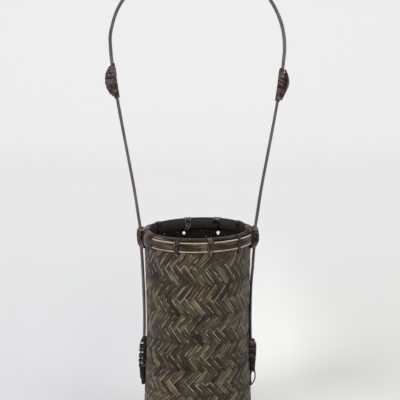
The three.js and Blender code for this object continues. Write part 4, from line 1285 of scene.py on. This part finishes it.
# A split bamboo bar: the carried section has its skin side down, and the ends are drawn in to a rounded tip
def makeBar(place, alongX, side, bottom, tone):
    width, thickness, offset = floorBars["width"], floorBars["thickness"], side * floorBars["offset"]
    half = np.sqrt(floorBars["ends"] ** 2 - (floorBars["offset"] + width / 2) ** 2)
    run = np.linspace(-half, half, floorBars["steps"])
    zero = 0 * run
    height = zero + bottom + thickness / 2
    path = np.stack([run, zero + offset, height] if alongX else [zero + offset, run, height], 1)
    intoTip = ((np.abs(run) - half + floorBars["tip"]) / floorBars["tipRound"]).clip(0)
    draw = np.sqrt(np.clip(1 - intoTip**2, 0.02, 1))
    halves = np.stack([draw * width / 2, zero + thickness / 2], 1)
    rings = carried(path, toGround, rattanSection, halves)
    layStrip(f"floor_bar_{place}", f"base_bar_{place}", rings, finish=barFinish, slot="bar", tones=tone)


for place, row in barRows.items():
    makeBar(place, *row)

# Rows of [radius, height] round the liner's wall, from the middle of its underside to the middle of its
# inner floor
liner = np.array([
    (0.3, 7.5), (20, 7.5), (37.6, 7.5), (38.6, 7.62), (39.5, 8.2), (39.92, 9.0), (40.0, 10.0), (39.95, 60),
    (39.95, 120), (40.0, 176.4), (40.25, 176.95), (41.2, 177.6), (41.7, 178.2), (41.8, 178.8),
    (41.55, 179.5), (40.9, 179.95), (39.6, 179.97), (38.95, 179.6), (38.8, 178.6), (38.8, 120), (38.8, 60),
    (38.8, 11.5), (38.5, 10.2), (37.6, 9.3), (36.4, 9.1), (20, 9.1), (0.3, 9.1),
])
makePiece("liner_tube", ringPoints(liner[:, 0], liner[:, 1], 128), liner / [40, 90] - [0, 1], linerFinish,
          "liner", "liner", ["water_liner"], closed=True, smooth=0.7)
print("bars and liner made")


# Studio

# Places and sizes in metres, the pitch in degrees, the lens in mm. The floor's colours go across it behind
# the vase, seen only by the camera: a painted soft shadow on the left, painted light over the vase's own
# shadow to the right of it, and darker towards the right edge. deepen is how far back they turn into the
# plain ground, and glowing how far back the glow comes in. Each light: place, size and power; all of them
# look at aim.
studio = {
    "camera": (0.0023, -1.3684, 0.5039), "pitch": 78.946, "lens": 126.0,
    "front": -2.2, "bend": 1.6, "curl": 0.8, "top": 3.0, "halfWidth": 3.0, "floorHalf": 0.22,
    "ground": (0.86, 0.86, 0.86), "deepen": (0.1, 1.1), "glowing": (0.1, 2.0), "glow": 0.19, "sky": 0.55,
    "floor": [(0.0, (0.79, 0.79, 0.805)), (0.12, (0.756, 0.756, 0.771)), (0.26, (0.77, 0.77, 0.782)),
              (0.74, (0.97, 0.97, 0.963)), (0.84, (0.965, 0.965, 0.957)), (1.0, (0.8, 0.8, 0.793))],
    "aim": (0.0, 0.0, 0.2),
    "lights": {
        "keyLight": ((-1.1, -1.3, 1.5), 1.0, 20.0), "fillLight": ((1.5, -0.9, 0.9), 1.2, 8.0),
        "topLight": ((0.1, 0.5, 1.9), 1.2, 6.0),
    },
}


# Pale sweep: flat floor that curls up into a backdrop, profile carried across
def makeSweep():
    turn = np.linspace(0, pi / 2, 24)
    bend, curl, half = studio["bend"], studio["curl"], studio["halfWidth"]
    rise = np.stack([bend + curl * np.sin(turn), curl - curl * np.cos(turn)], 1)
    profile = np.concatenate([[[studio["front"], 0.0]], rise, [[bend + curl, studio["top"]]]])
    points = [(x, y, z) for x in (-half, half) for y, z in profile.tolist()]
    count = len(profile)
    faces = [(i, i + count, i + count + 1, i + 1) for i in range(count - 1)]
    mesh = bpy.data.meshes.new("paleSweep")
    mesh.from_pydata(points, [], faces)
    mesh.polygons.foreach_set("use_smooth", np.ones(len(faces), bool))
    sweep = bpy.data.objects.new("paleSweep", mesh)
    bpy.context.scene.collection.objects.link(sweep)
    finish, tree = newFinish("palePaper")
    shader = tree.nodes["Principled BSDF"]
    place = addNode(tree, "ShaderNodeTexCoord").outputs["Object"]
    x, y, _ = addNode(tree, "ShaderNodeSeparateXYZ", {0: place}).outputs
    seen = addNode(tree, "ShaderNodeLightPath").outputs["Is Camera Ray"]
    # Painted shadow and light across the floor, for the camera only
    near = addRamp(tree, addRange(tree, x, -studio["floorHalf"], studio["floorHalf"]), studio["floor"])
    floor = addMix(tree, addRange(tree, y, *studio["deepen"]), near, studio["ground"])
    tree.links.new(addMix(tree, seen, studio["ground"], floor), shader.inputs["Base Color"])
    glow = addRange(tree, y, *studio["glowing"], 0.0, studio["glow"])
    tree.links.new(addMath(tree, "MULTIPLY", glow, seen), shader.inputs["Emission Strength"])
    for key, value in (("Emission Color", (1, 1, 1, 1)), ("Roughness", 0.9), ("Specular IOR Level", 0.1)):
        shader.inputs[key].default_value = value
    mesh.materials.append(finish)


# A round soft light, turned towards the vase
def makeLight(name, place, size, power):
    lamp = bpy.data.lights.new(name, "AREA")
    lamp.shape = "DISK"
    lamp.size = size
    lamp.energy = power
    holder = bpy.data.objects.new(name, lamp)
    holder.location = place
    back = unit(np.array(place) - studio["aim"])
    holder.rotation_euler = (np.arccos(back[2]), 0, np.arctan2(back[0], -back[1]))
    bpy.context.scene.collection.objects.link(holder)


def makeStudio():
    makeSweep()
    for name, row in studio["lights"].items():
        makeLight(name, *row)
    world = bpy.data.worlds.new("softSky")
    world.use_nodes = True
    sky = world.node_tree.nodes["Background"]
    sky.inputs[0].default_value = (1, 1, 1, 1)
    sky.inputs[1].default_value = studio["sky"]
    bpy.context.scene.world = world
    camera = bpy.data.objects.new("camera", bpy.data.cameras.new("camera"))
    camera.data.lens = studio["lens"]
    camera.data.sensor_width = 36
    camera.data.clip_end = 50
    camera.location = studio["camera"]
    camera.rotation_euler = (np.radians(studio["pitch"]), 0, 0)
    bpy.context.scene.collection.objects.link(camera)
    bpy.context.scene.camera = camera
    bpy.context.scene.view_settings.view_transform = "Standard"


makeStudio()
print("studio set")
